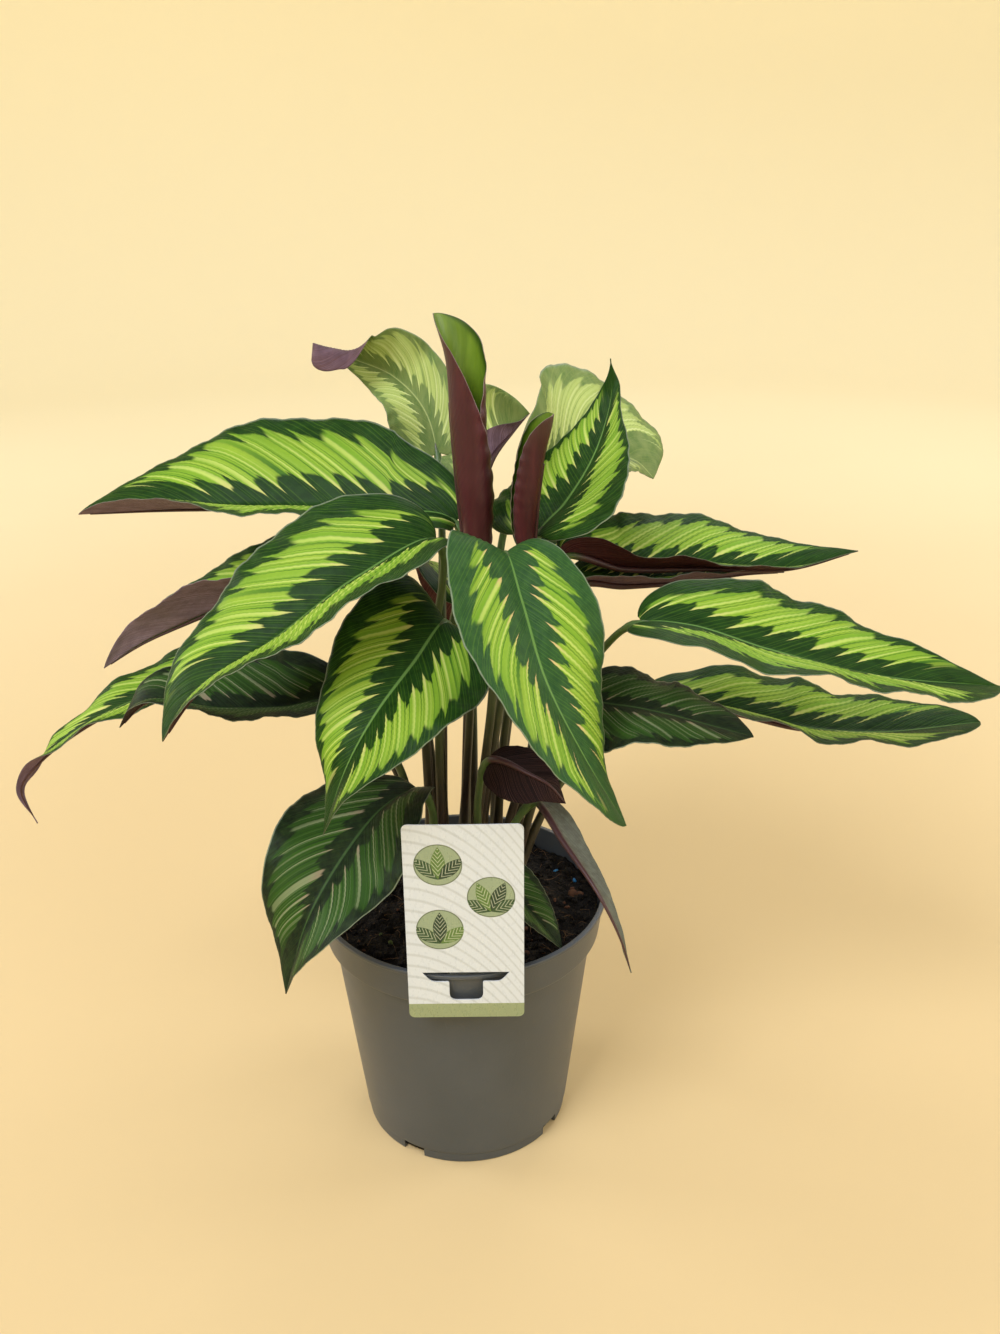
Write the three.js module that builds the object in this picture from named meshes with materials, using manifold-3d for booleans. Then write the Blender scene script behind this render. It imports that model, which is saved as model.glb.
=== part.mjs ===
import * as THREE from 'three';
import { mergeVertices } from 'three/addons/utils/BufferGeometryUtils.js';
import Module from 'manifold-3d';

// A calathea with striped leaves in a grey nursery pot, with a hang tag hooked over the rim.
// Lengths in millimetres, angles in degrees. The pot stands on z = 0 and its axis is x = y = 0.
// The tag marks the front of the pot, at -Y.

const wasm = await Module();
wasm.setup();

const RIM_RADIUS = 85;
const POT_HEIGHT = 154;
const BASE_RADIUS = 62;
const FOOT_HEIGHT = 7;
const SHOULDER_RADIUS = 77;
const BAND_RADIUS = 81.4;
const BAND_HEIGHT = 23;
const LIP_HEIGHT = 3;
const MOUTH_RADIUS = 82.2;
const NECK_RADIUS = 79.8;
const WALL = 1.6;
const FLOOR = 2;
const POT_SIDES = 48;

const NOTCH_WIDTH = 14;
const NOTCH_HEIGHT = 6.5;
const NOTCH_ANGLES = [-120, -34, 56, 146];

const SOIL_EDGE = 142;
const SOIL_RISE = 3;
const SOIL_GAP = 0.55;

const CARD_WIDTH = 62;
const CARD_BOTTOM = 128;
const CARD_TOP = 249;
const CARD_CENTRE = 4;
const CARD_BACK = -85.4;
const CARD_THICKNESS = 0.6;
const SLOT_WIDTH = 47;
const SLOT_TOP = 157.5;
const SLOT_BOTTOM = 151.5;
const TONGUE_WIDTH = 18;
const TONGUE_CUT_BOTTOM = 139.5;
const TONGUE_END = 147.5;

const ROOT_DEPTH = 112;
const STRAIGHT_TOP = 147;
const STALK_RADIUS = 3;
const STALK_TOP_RADIUS = 2;
const HOLE_GAP = 0.4;
const BLADE_THICKNESS = 0.7;
const ARCH = 24;
const LOBE_REACH = 0.3;
const STALK_STEPS = 6;
const ROLLED_STALK_STEPS = 5;

const COLOURS = {
  pot: '#62605b',
  soil: '#2b211a',
  card: '#e6e6dc',
  bright: '#6f9a34',
  dark: '#2f4a2b',
  rolled: '#5a2f33',
};

// Stations along a blade from its base to its tip, and across it from the left margin to the right.
const ALONG = [0.012, 0.05, 0.12, 0.22, 0.34, 0.47, 0.6, 0.73, 0.85, 0.94, 1];
const ACROSS = [-1, -0.55, -0.1, 0, 0.1, 0.55, 1];
const ACROSS_ROLLED = [-1, -0.75, -0.5, -0.25, -0.08, 0, 0.08, 0.25, 0.5, 0.75, 1];

// One record a leaf.
// root: where the stalk enters the soil. stalk: points it passes. rib: the midrib, base to tip.
// half: half widths left and right of the midrib, looking from base to tip on the upper face.
// outline: for each half, how full it is at the base and how pointed at the tip.
// roll: turn of the blade about its midrib at base, middle and tip.
// fold: rise of each half above the midrib, at base and tip. lobe: how far each base lobe reaches back.
// wave: height, count and phase of the waves along the margins.
// tube: radius of each half of a leaf still rolled up. face: where its upper face looks.
const LEAVES = [
  {
    name: 'leaf_upper_left',
    root: [-9, 8],
    stalk: [[-10, 16, 269]],
    rib: [[1, 34, 368], [-41, 42, 378], [-92, 50, 378], [-155, 53, 375], [-214, 52, 369]],
    half: [49, 54],
    outline: [[0.50, 0.75], [0.60, 0.75]],
    roll: [-25, -15, 10],
    fold: [[25, 20], [30, 30]],
    lobe: [8, 0],
    wave: [1.5, 3, 0.1],
  },
  {
    name: 'leaf_left_front',
    root: [-15, -3],
    stalk: [[-18, 0, 271]],
    rib: [[-8, -10, 373], [-46, -34, 363], [-88, -54, 337], [-124, -68, 317], [-144, -76, 292]],
    half: [49, 51],
    outline: [[0.55, 0.80], [0.50, 0.80]],
    roll: [-15, -5, 5],
    fold: [[25, 20], [25, 25]],
    lobe: [6, 5],
    wave: [1.5, 3, 0.3],
  },
  {
    name: 'leaf_centre_front',
    root: [3, -12],
    stalk: [[18, -8, 268]],
    rib: [[27, -22, 370], [35, -50, 354], [46, -80, 324], [64, -98, 292], [84, -108, 260]],
    half: [37, 46],
    outline: [[0.50, 0.95], [0.30, 0.65]],
    roll: [5, -10, -15],
    fold: [[15, 5], [30, -5]],
    lobe: [9, 17],
    wave: [1.5, 2.5, 0.6],
  },
  {
    name: 'leaf_left_centre',
    root: [-9, -12],
    stalk: [[-10, -14, 259]],
    rib: [[-4, -30, 336], [-20, -54, 323], [-38, -78, 306], [-51, -92, 286], [-64, -100, 252]],
    half: [43, 42],
    outline: [[0.50, 1.10], [0.30, 1.10]],
    roll: [-25, -10, 5],
    fold: [[0, 15], [10, 10]],
    lobe: [15, 20],
    wave: [2, 2.5, 0.2],
  },
  {
    name: 'leaf_back_left',
    root: [-12, 18],
    stalk: [[-10, 58, 289]],
    rib: [[-12, 106, 388], [-20, 117, 412], [-33, 122, 430], [-53, 120, 446], [-69, 114, 450], [-78, 109, 446], [-84, 105, 428]],
    half: [33, 36],
    outline: [[0.55, 0.80], [0.50, 0.85]],
    roll: [-20, -15, 60],
    fold: [[10, -5], [20, 15]],
    lobe: [8, 7],
    wave: [1.5, 3, 0],
  },
  {
    name: 'leaf_upper_right',
    root: [8, 6],
    stalk: [[30, 10, 308]],
    rib: [[44, 10, 368], [60, 24, 382], [75, 42, 400], [83, 54, 417], [87, 62, 434], [86, 66, 451]],
    half: [45, 44],
    outline: [[0.40, 1.55], [0.50, 1.55]],
    roll: [5, -15, -25],
    fold: [[5, 15], [10, 20]],
    lobe: [12, 0],
    wave: [1.5, 2, 0.4],
  },
  {
    name: 'leaf_back_right',
    root: [20, 19],
    stalk: [[24, 60, 337], [32, 68, 371]],
    rib: [[38, 76, 382], [60, 90, 386], [84, 98, 389], [105, 100, 384], [116, 98, 374]],
    half: [58, 45],
    outline: [[0.55, 0.50], [0.50, 0.85]],
    roll: [35, 15, 0],
    fold: [[65, 15], [5, 5]],
    lobe: [7, 8],
    wave: [2, 2.5, 0.1],
  },
  {
    name: 'leaf_right_upper',
    root: [20, 8],
    stalk: [[31, 18, 280]],
    rib: [[58, 28, 353], [93, 34, 352], [151, 36, 345], [203, 36, 348], [224, 36, 348]],
    half: [43, 43],
    outline: [[0.50, 1.00], [0.50, 1.00]],
    roll: [-30, 10, -5],
    fold: [[15, 20], [60, -10]],
    lobe: [7, 8],
    wave: [1.5, 3.5, 0.5],
  },
  {
    name: 'leaf_right_middle',
    root: [29, 9],
    stalk: [[45, 18, 255]],
    rib: [[69, 33, 327], [98, 36, 325], [132, 41, 330], [163, 42, 331], [185, 41, 327]],
    half: [27, 31],
    outline: [[0.55, 0.90], [0.45, 1.00]],
    roll: [15, -5, -10],
    fold: [[10, 5], [15, 50]],
    lobe: [7, 9],
    wave: [1.5, 3, 0.2],
  },
  {
    name: 'leaf_right_front',
    root: [17, -4],
    stalk: [[45, 3, 250], [79, 5, 303]],
    rib: [[97, -20, 330], [123, -27, 331], [164, -33, 319], [223, -32, 303], [290, -24, 293]],
    half: [43, 45],
    outline: [[0.65, 1.15], [0.40, 0.60]],
    roll: [5, 5, 25],
    fold: [[25, 25], [10, 25]],
    lobe: [10, 7],
    wave: [2.5, 4, 0.1],
  },
  {
    name: 'leaf_right_low',
    root: [30, 0],
    stalk: [[55, 10, 213], [93, 24, 251]],
    rib: [[108, 30, 259], [156, 29, 255], [198, 25, 245], [244, 23, 242], [302, 23, 248]],
    half: [40, 36],
    outline: [[0.50, 0.55], [0.50, 0.55]],
    roll: [-10, 0, 5],
    fold: [[30, 5], [20, 15]],
    lobe: [6, 8],
    wave: [3, 4, 0.3],
  },
  {
    name: 'leaf_right_lower',
    root: [27, -9],
    stalk: [[44, -7, 223]],
    rib: [[61, -20, 283], [87, -28, 286], [111, -35, 284], [137, -39, 278], [157, -41, 273]],
    half: [35, 38],
    outline: [[0.45, 0.70], [0.50, 1.00]],
    roll: [15, 0, 10],
    fold: [[5, 5], [-10, 5]],
    lobe: [8, 8],
    wave: [2, 3, 0.5],
    tone: 'dark',
  },
  {
    name: 'leaf_left_middle',
    root: [-19, 7],
    stalk: [[-22, 18, 268], [-50, 24, 342]],
    rib: [[-66, 26, 353], [-109, 32, 331], [-152, 34, 312], [-180, 33, 299], [-203, 30, 285]],
    half: [31, 30],
    outline: [[0.50, 0.85], [0.45, 0.90]],
    roll: [-35, -15, -5],
    fold: [[55, 75], [20, 30]],
    lobe: [8, 8],
    wave: [1.5, 3, 0.7],
  },
  {
    name: 'leaf_left_low',
    root: [-26, -4],
    stalk: [[-33, -2, 234]],
    rib: [[-62, -4, 279], [-97, -10, 278], [-131, -16, 281], [-164, -20, 288], [-182, -22, 273]],
    half: [34, 40],
    outline: [[0.50, 0.85], [0.55, 0.90]],
    roll: [-15, -5, 5],
    fold: [[25, 20], [25, 20]],
    lobe: [8, 1],
    wave: [2, 3, 0.4],
    tone: 'dark',
  },
  {
    name: 'leaf_left_lowest',
    root: [-29, 6],
    stalk: [[-40, 14, 232]],
    rib: [[-127, 24, 289], [-169, 18, 276], [-203, 10, 264], [-238, 2, 240], [-250, -2, 224], [-243, -4, 203]],
    half: [29, 25],
    outline: [[0.50, 0.95], [0.45, 1.30]],
    roll: [-10, 5, 5],
    fold: [[20, 15], [15, 5]],
    lobe: [8, 8],
    wave: [2, 4, 0.2],
  },
  {
    name: 'leaf_over_rim_left',
    root: [-20, -14],
    stalk: [[-15, -18, 217]],
    rib: [[-22, -24, 234], [-39, -38, 232], [-58, -62, 219], [-76, -86, 196], [-91, -94, 151]],
    half: [38, 40],
    outline: [[0.50, 1.00], [0.50, 1.00]],
    roll: [15, -20, -5],
    fold: [[10, 20], [10, 25]],
    lobe: [8, 8],
    wave: [2, 2.5, 0.6],
    tone: 'dark',
  },
  {
    name: 'leaf_over_rim_right',
    root: [19, -18],
    stalk: [[31, -22, 210]],
    rib: [[43, -24, 225], [59, -54, 215], [75, -81, 201], [85, -91, 182], [91, -94, 162]],
    half: [19, 17],
    outline: [[0.50, 0.90], [0.45, 1.20]],
    roll: [10, 20, 30],
    fold: [[80, 90], [75, 75]],
    lobe: [8, 8],
    tone: 'dark',
  },
  {
    name: 'rolled_leaf_tall',
    root: [-1, 15],
    stalk: [[7, 16, 269], [9, 16, 330]],
    rib: [[7, 15, 354], [3, 16, 392], [0, 18, 429], [-2, 20, 462], [-8, 22, 483]],
    half: [31, 36],
    outline: [[0.40, 0.90], [0.40, 0.50]],
    tube: [[7, 9.5, 10.5, 11], [6, 8.3, 9.3, 11.5]],
    face: [1, -0.25, 0],
    lobe: [0, 0],
  },
  {
    name: 'rolled_leaf_short',
    root: [5, -2],
    stalk: [[24, 0, 277], [36, 2, 335]],
    rib: [[41, 2, 362], [44, 0, 391], [48, -2, 418], [51, -3, 431], [52, -3, 437]],
    half: [19, 19],
    outline: [[0.35, 0.35], [0.35, 0.35]],
    tube: [[6, 7.2, 7.2], [5.4, 6.4, 6.4]],
    face: [-1, -0.15, 0],
    lobe: [0, 0],
  },
  {
    name: 'leaf_behind_rolled',
    root: [1, 27],
    stalk: [[7, 46, 306]],
    rib: [[13, 50, 381], [19, 58, 397], [25, 64, 404], [32, 70, 410], [42, 76, 419]],
    half: [41, 17],
    outline: [[0.70, 0.50], [0.40, 1.35]],
    roll: [0, -50, 55],
    fold: [[30, 30], [85, 90]],
    lobe: [8, 8],
  },
  {
    name: 'leaf_low_middle',
    root: [13, -13],
    stalk: [[11, -22, 226]],
    rib: [[17, -28, 253], [26, -34, 255], [38, -41, 252], [49, -46, 248], [58, -48, 238]],
    half: [13, 13],
    outline: [[0.50, 0.95], [0.50, 0.95]],
    roll: [-150, -150, -150],
    fold: [[20, 20], [20, 20]],
    lobe: [8, 8],
    tone: 'dark',
  },
  {
    name: 'leaf_on_soil',
    root: [8, -22],
    stalk: [[6, -26, 196]],
    rib: [[11, -31, 191], [25, -40, 182], [39, -48, 169], [49, -53, 159], [57, -56, 149]],
    half: [18, 18],
    outline: [[0.50, 0.95], [0.50, 0.95]],
    roll: [0, 0, 0],
    fold: [[20, 20], [20, 20]],
    lobe: [8, 8],
    tone: 'dark',
  },
  {
    name: 'leaf_rear_left',
    root: [-12, 29],
    stalk: [[-26, 58, 285]],
    rib: [[-36, 84, 330], [-54, 114, 334], [-72, 146, 318], [-86, 172, 290], [-92, 186, 262]],
    half: [38, 38],
    outline: [[0.50, 0.95], [0.50, 0.95]],
    roll: [0, 0, 0],
    fold: [[20, 10], [20, 10]],
    lobe: [8, 8],
    wave: [2, 3, 0.3],
  },
  {
    name: 'leaf_rear_middle',
    root: [6, 37],
    stalk: [[7, 70, 245]],
    rib: [[4, 92, 298], [4, 126, 303], [4, 164, 284], [2, 194, 248], [0, 208, 218]],
    half: [40, 40],
    outline: [[0.50, 0.95], [0.50, 0.95]],
    roll: [0, 0, 0],
    fold: [[20, 10], [20, 10]],
    lobe: [8, 8],
    wave: [2, 3, 0.8],
  },
  {
    name: 'leaf_rear_right',
    root: [18, 30],
    stalk: [[34, 58, 275]],
    rib: [[48, 84, 332], [64, 112, 338], [82, 144, 328], [96, 170, 308], [102, 186, 286]],
    half: [34, 34],
    outline: [[0.50, 0.95], [0.50, 0.95]],
    roll: [0, 0, 0],
    fold: [[20, 10], [20, 10]],
    lobe: [8, 8],
    wave: [2, 3.5, 0.1],
  },
];

function vector(point) {
  return new THREE.Vector3(point[0], point[1], point[2]);
}

function radians(degrees) {
  return (degrees * Math.PI) / 180;
}

// A value between evenly spaced stations, eased from one to the next.
function between(stations, t) {
  const place = Math.min(Math.max(t, 0), 1) * (stations.length - 1);
  const first = Math.min(Math.floor(place), stations.length - 2);
  const share = place - first;
  const ease = share * share * (3 - 2 * share);
  return stations[first] * (1 - ease) + stations[first + 1] * ease;
}

function solidFromArrays(positions, triangles) {
  return new wasm.Manifold(
    new wasm.Mesh({
      numProp: 3,
      vertProperties: new Float32Array(positions),
      triVerts: new Uint32Array(triangles),
    }),
  );
}

function solidFromGeometry(geometry) {
  const bare = new THREE.BufferGeometry();
  bare.setAttribute('position', geometry.getAttribute('position'));
  bare.setIndex(geometry.getIndex());
  const welded = mergeVertices(bare, 1e-4);
  return solidFromArrays(welded.getAttribute('position').array, welded.getIndex().array);
}

function geometryFromSolid(solid) {
  const mesh = solid.getMesh();
  const geometry = new THREE.BufferGeometry();
  geometry.setAttribute('position', new THREE.BufferAttribute(new Float32Array(mesh.vertProperties), 3));
  geometry.setIndex(new THREE.BufferAttribute(new Uint32Array(mesh.triVerts), 1));
  geometry.computeVertexNormals();
  return geometry;
}

// Joins rings of equal count into a closed skin, with a flat cap at each end.
function skin(rings) {
  const count = rings[0].length;
  const positions = rings.flat().flatMap((p) => [p.x, p.y, p.z]);
  const triangles = [];
  for (let k = 0; k < rings.length - 1; k += 1) {
    for (let i = 0; i < count; i += 1) {
      const a = k * count + i;
      const b = k * count + ((i + 1) % count);
      triangles.push(a, b, b + count, a, b + count, a + count);
    }
  }
  const last = (rings.length - 1) * count;
  for (let i = 1; i < count - 1; i += 1) {
    triangles.push(0, i + 1, i);
    triangles.push(last, last + i, last + i + 1);
  }
  return { positions, triangles };
}

// A turned body from a closed profile of [radius, height], walked up its outer side.
function turned(profile, sides) {
  const rings = profile.map(([radius, height]) => {
    const ring = [];
    for (let i = 0; i < sides; i += 1) {
      const angle = (2 * Math.PI * i) / sides;
      ring.push([radius * Math.cos(angle), radius * Math.sin(angle), height]);
    }
    return radius > 0 ? ring : [[0, 0, height]];
  });
  const starts = [];
  const positions = [];
  rings.forEach((ring) => {
    starts.push(positions.length / 3);
    ring.forEach((point) => positions.push(...point));
  });
  const triangles = [];
  for (let k = 0; k < rings.length - 1; k += 1) {
    for (let i = 0; i < sides; i += 1) {
      const next = (i + 1) % sides;
      const low = starts[k];
      const high = starts[k + 1];
      if (rings[k].length === 1) {
        triangles.push(low, high + next, high + i);
      } else if (rings[k + 1].length === 1) {
        triangles.push(low + i, low + next, high);
      } else {
        triangles.push(low + i, low + next, high + next);
        triangles.push(low + i, high + next, high + i);
      }
    }
  }
  return solidFromArrays(positions, triangles);
}

// Radius of the inside of the pot at a height.
function insideRadius(height) {
  const bandFoot = POT_HEIGHT - BAND_HEIGHT;
  if (height > bandFoot) {
    return NECK_RADIUS + ((MOUTH_RADIUS - NECK_RADIUS) * (height - bandFoot)) / BAND_HEIGHT;
  }
  const foot = BASE_RADIUS - WALL;
  return foot + ((SHOULDER_RADIUS - WALL - 2 - foot) * height) / bandFoot;
}

function buildPot() {
  const bandFoot = POT_HEIGHT - BAND_HEIGHT;
  const profile = [
    [0, 0],
    [BASE_RADIUS - 1, 0],
    [BASE_RADIUS - 0.3, 0.8],
    [BASE_RADIUS, FOOT_HEIGHT - 0.4],
    [BASE_RADIUS + 0.8, FOOT_HEIGHT + 0.6],
    [SHOULDER_RADIUS - 1.6, bandFoot - 2],
    [SHOULDER_RADIUS, bandFoot],
    [BAND_RADIUS - 0.8, bandFoot],
    [BAND_RADIUS, bandFoot + 1],
    [RIM_RADIUS - 1.2, POT_HEIGHT - LIP_HEIGHT - 0.4],
    [RIM_RADIUS, POT_HEIGHT - LIP_HEIGHT + 0.4],
    [RIM_RADIUS, POT_HEIGHT - 0.5],
    [RIM_RADIUS - 0.6, POT_HEIGHT],
    [insideRadius(POT_HEIGHT) + 0.4, POT_HEIGHT],
    [insideRadius(POT_HEIGHT - 0.6), POT_HEIGHT - 0.6],
    [insideRadius(bandFoot + 1.6), bandFoot + 1.6],
    [insideRadius(bandFoot - 1.6), bandFoot - 1.6],
    [insideRadius(FLOOR), FLOOR],
    [0, FLOOR],
  ];
  let pot = turned(profile, POT_SIDES);
  NOTCH_ANGLES.forEach((angle) => {
    const box = new THREE.BoxGeometry(12, NOTCH_WIDTH, NOTCH_HEIGHT + 2);
    box.translate(BASE_RADIUS, 0, NOTCH_HEIGHT / 2 - 1);
    box.rotateZ(radians(angle));
    pot = pot.subtract(solidFromGeometry(box));
  });
  return geometryFromSolid(pot);
}

function buildSoil() {
  const foot = FLOOR + 0.4;
  const bandFoot = POT_HEIGHT - BAND_HEIGHT;
  const heightAt = (radius) => SOIL_EDGE + SOIL_RISE * (1 - (radius / 80) ** 2);
  const edge = insideRadius(SOIL_EDGE) - SOIL_GAP;
  const profile = [
    [0, foot],
    [insideRadius(foot) - SOIL_GAP, foot],
    [insideRadius(bandFoot - 1.8) - SOIL_GAP, bandFoot - 1.2],
    [insideRadius(bandFoot + 2) - SOIL_GAP, bandFoot + 2.2],
    [edge, SOIL_EDGE],
    [64, heightAt(64)],
    [44, heightAt(44)],
    [0, heightAt(0)],
  ];
  let soil = turned(profile, 40);
  LEAVES.forEach((leaf) => {
    const path = pathOf(leaf);
    const count = (leaf.tube ? ACROSS_ROLLED : ACROSS).length;
    const rings = [ROOT_DEPTH - 1.5, STRAIGHT_TOP + 1].map((height) =>
      stalkRing(new THREE.Vector3(leaf.root[0], leaf.root[1], height), path.rootFrame, STALK_RADIUS + HOLE_GAP, count),
    );
    const hole = skin(rings);
    soil = soil.subtract(solidFromArrays(hole.positions, hole.triangles));
  });
  return geometryFromSolid(soil);
}

function roundedRectangle(left, bottom, right, top, radius) {
  const shape = new THREE.Shape();
  shape.moveTo(left + radius, bottom);
  shape.lineTo(right - radius, bottom);
  shape.quadraticCurveTo(right, bottom, right, bottom + radius);
  shape.lineTo(right, top - radius);
  shape.quadraticCurveTo(right, top, right - radius, top);
  shape.lineTo(left + radius, top);
  shape.quadraticCurveTo(left, top, left, top - radius);
  shape.lineTo(left, bottom + radius);
  shape.quadraticCurveTo(left, bottom, left + radius, bottom);
  return shape;
}

// The slot is a wide slit with a rounded cut below it, left open by the tongue that bends back over the rim.
function slotPath() {
  const middle = CARD_CENTRE;
  const wide = SLOT_WIDTH / 2;
  const narrow = TONGUE_WIDTH / 2;
  const path = new THREE.Path();
  path.moveTo(middle - wide, SLOT_TOP);
  path.lineTo(middle - wide + 5, SLOT_BOTTOM);
  path.lineTo(middle - narrow, SLOT_BOTTOM);
  path.lineTo(middle - narrow, TONGUE_CUT_BOTTOM + 5);
  path.quadraticCurveTo(middle - narrow, TONGUE_CUT_BOTTOM, middle - narrow + 5, TONGUE_CUT_BOTTOM);
  path.lineTo(middle + narrow - 5, TONGUE_CUT_BOTTOM);
  path.quadraticCurveTo(middle + narrow, TONGUE_CUT_BOTTOM, middle + narrow, TONGUE_CUT_BOTTOM + 5);
  path.lineTo(middle + narrow, SLOT_BOTTOM);
  path.lineTo(middle + wide - 5, SLOT_BOTTOM);
  path.lineTo(middle + wide, SLOT_TOP);
  path.closePath();
  return path;
}

// A block between two corners, for the tag's bent-back parts.
function block(from, to) {
  const box = new THREE.BoxGeometry(to[0] - from[0], to[1] - from[1], to[2] - from[2]);
  box.translate((from[0] + to[0]) / 2, (from[1] + to[1]) / 2, (from[2] + to[2]) / 2);
  return solidFromGeometry(box);
}

function buildTag() {
  const left = CARD_CENTRE - CARD_WIDTH / 2;
  const shape = roundedRectangle(left, CARD_BOTTOM, left + CARD_WIDTH, CARD_TOP, 3);
  shape.holes.push(slotPath());
  const card = new THREE.ExtrudeGeometry(shape, {
    depth: CARD_THICKNESS,
    bevelEnabled: false,
    curveSegments: 4,
  });
  card.rotateX(Math.PI / 2);
  card.translate(0, CARD_BACK, 0);
  const fold = SLOT_TOP + CARD_THICKNESS;
  const half = TONGUE_WIDTH / 2;
  const inner = CARD_BACK + 6.4;
  const strip = block(
    [CARD_CENTRE - SLOT_WIDTH / 2 + 1, CARD_BACK - 0.3, SLOT_TOP],
    [CARD_CENTRE + SLOT_WIDTH / 2 - 1, CARD_BACK + 3, fold],
  );
  const over = block(
    [CARD_CENTRE - half, CARD_BACK + 2, SLOT_TOP],
    [CARD_CENTRE + half, inner, fold],
  );
  const down = block(
    [CARD_CENTRE - half, inner - CARD_THICKNESS, TONGUE_END],
    [CARD_CENTRE + half, inner, fold],
  );
  return geometryFromSolid(solidFromGeometry(card).add(strip).add(over).add(down));
}

// The whole length of a leaf, from the foot of its stalk in the soil to the tip of its blade.
function pathOf(leaf) {
  const [x, y] = leaf.root;
  const points = [
    [x, y, ROOT_DEPTH],
    [x, y, STRAIGHT_TOP],
    [x, y, STRAIGHT_TOP + 6],
    ...leaf.stalk,
    ...leaf.rib,
  ].map(vector);
  const curve = new THREE.CatmullRomCurve3(points, false, 'centripetal');
  const spans = points.length - 1;
  curve.arcLengthDivisions = 60 * spans;
  const lengths = curve.getLengths();
  const total = lengths[lengths.length - 1];
  const baseAt = lengths[60 * (spans + 1 - leaf.rib.length)] / total;
  const straightAt = lengths[60] / total;
  const at = (share) => ({ point: curve.getPointAt(share), tangent: curve.getTangentAt(share) });
  const path = { at, baseAt, straightAt };
  path.baseFrame = bladeFrame(leaf, path, 0);
  path.rootFrame = carried(path.baseFrame, at(0).tangent);
  return path;
}

// The frame of the blade at a share of its length: along, up from the upper face, and to the right.
function bladeFrame(leaf, path, t) {
  const { point, tangent } = path.at(Math.min(path.baseAt + t * (1 - path.baseAt), 1));
  const face = vector(leaf.face ?? [0, 0, 1]);
  const up = face.addScaledVector(tangent, -face.dot(tangent)).normalize();
  const right = new THREE.Vector3().crossVectors(tangent, up);
  const turn = radians(between(leaf.roll ?? [0, 0], t));
  const normal = up.multiplyScalar(Math.cos(turn)).addScaledVector(right, Math.sin(turn));
  return { point, tangent, normal, right: new THREE.Vector3().crossVectors(tangent, normal) };
}

// A frame moved to another tangent with the least turning.
function carried(frame, tangent) {
  const normal = frame.normal.clone().addScaledVector(tangent, -frame.normal.dot(tangent)).normalize();
  return { tangent, normal, right: new THREE.Vector3().crossVectors(tangent, normal) };
}

function stalkRing(centre, frame, radius, count) {
  const ring = [];
  for (let i = 0; i < count; i += 1) {
    const angle = Math.PI - (2 * Math.PI * (i + 0.5)) / count;
    ring.push(
      centre
        .clone()
        .addScaledVector(frame.right, radius * Math.cos(angle))
        .addScaledVector(frame.normal, radius * Math.sin(angle)),
    );
  }
  return ring;
}

// How wide a half of the blade is, as a share of its widest place.
function fullness([base, tip], t) {
  const widest = base / (base + tip);
  const top = widest ** base * (1 - widest) ** tip;
  return (t ** base * (1 - t) ** tip) / top;
}

// A point of the blade's middle surface and the direction out of its upper face there.
function bladePoint(leaf, frame, t, across) {
  const side = across < 0 ? 0 : 1;
  const sign = across < 0 ? -1 : 1;
  const reach = Math.abs(across);
  const width = Math.max(leaf.half[side] * fullness(leaf.outline[side], t), 0.35);
  let start = 0;
  let bend = 0;
  if (leaf.tube) {
    bend = width / between(leaf.tube[side], t);
  } else {
    start = radians(between(leaf.fold[side], t) + ARCH / 2);
    bend = -radians(ARCH);
  }
  const angle = start + bend * reach;
  const out = (width * (Math.sin(angle) - Math.sin(start))) / bend;
  const rise = (width * (Math.cos(start) - Math.cos(angle))) / bend;
  const back = Math.max(0, 1 - t / LOBE_REACH) ** 2 * (t / (t + 0.012)) * leaf.lobe[side] * reach ** 1.3;
  const normal = frame.right
    .clone()
    .multiplyScalar(-sign * Math.sin(angle))
    .addScaledVector(frame.normal, Math.cos(angle));
  const [height, count, phase] = leaf.wave ?? [0, 0, 0];
  const turns = count * t + phase + (side === 1 ? 0.4 : 0);
  const wave = height * reach ** 2 * Math.sin(2 * Math.PI * turns) * Math.sin(Math.PI * Math.min(1, 1.1 * t));
  const point = frame.point
    .clone()
    .addScaledVector(frame.right, sign * out)
    .addScaledVector(frame.normal, rise)
    .addScaledVector(frame.tangent, -back)
    .addScaledVector(normal, wave);
  return { point, normal };
}

// One closed loop around the blade: its upper face left to right, then its lower face back.
// The midrib stands out of the lower face.
function bladeRing(leaf, path, t) {
  const frame = bladeFrame(leaf, path, t);
  const steps = leaf.tube ? ACROSS_ROLLED : ACROSS;
  const upper = [];
  const lower = [];
  const rib = leaf.tube ? 0.3 : (2 * STALK_TOP_RADIUS - 1) * (1 - t) ** 1.5;
  steps.forEach((across) => {
    const { point, normal } = bladePoint(leaf, frame, t, across);
    const depth = BLADE_THICKNESS / 2 + (across === 0 ? rib : 0);
    upper.push(point.clone().addScaledVector(normal, BLADE_THICKNESS / 2));
    lower.unshift(point.clone().addScaledVector(normal, -depth));
  });
  return [...upper, ...lower];
}

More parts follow.
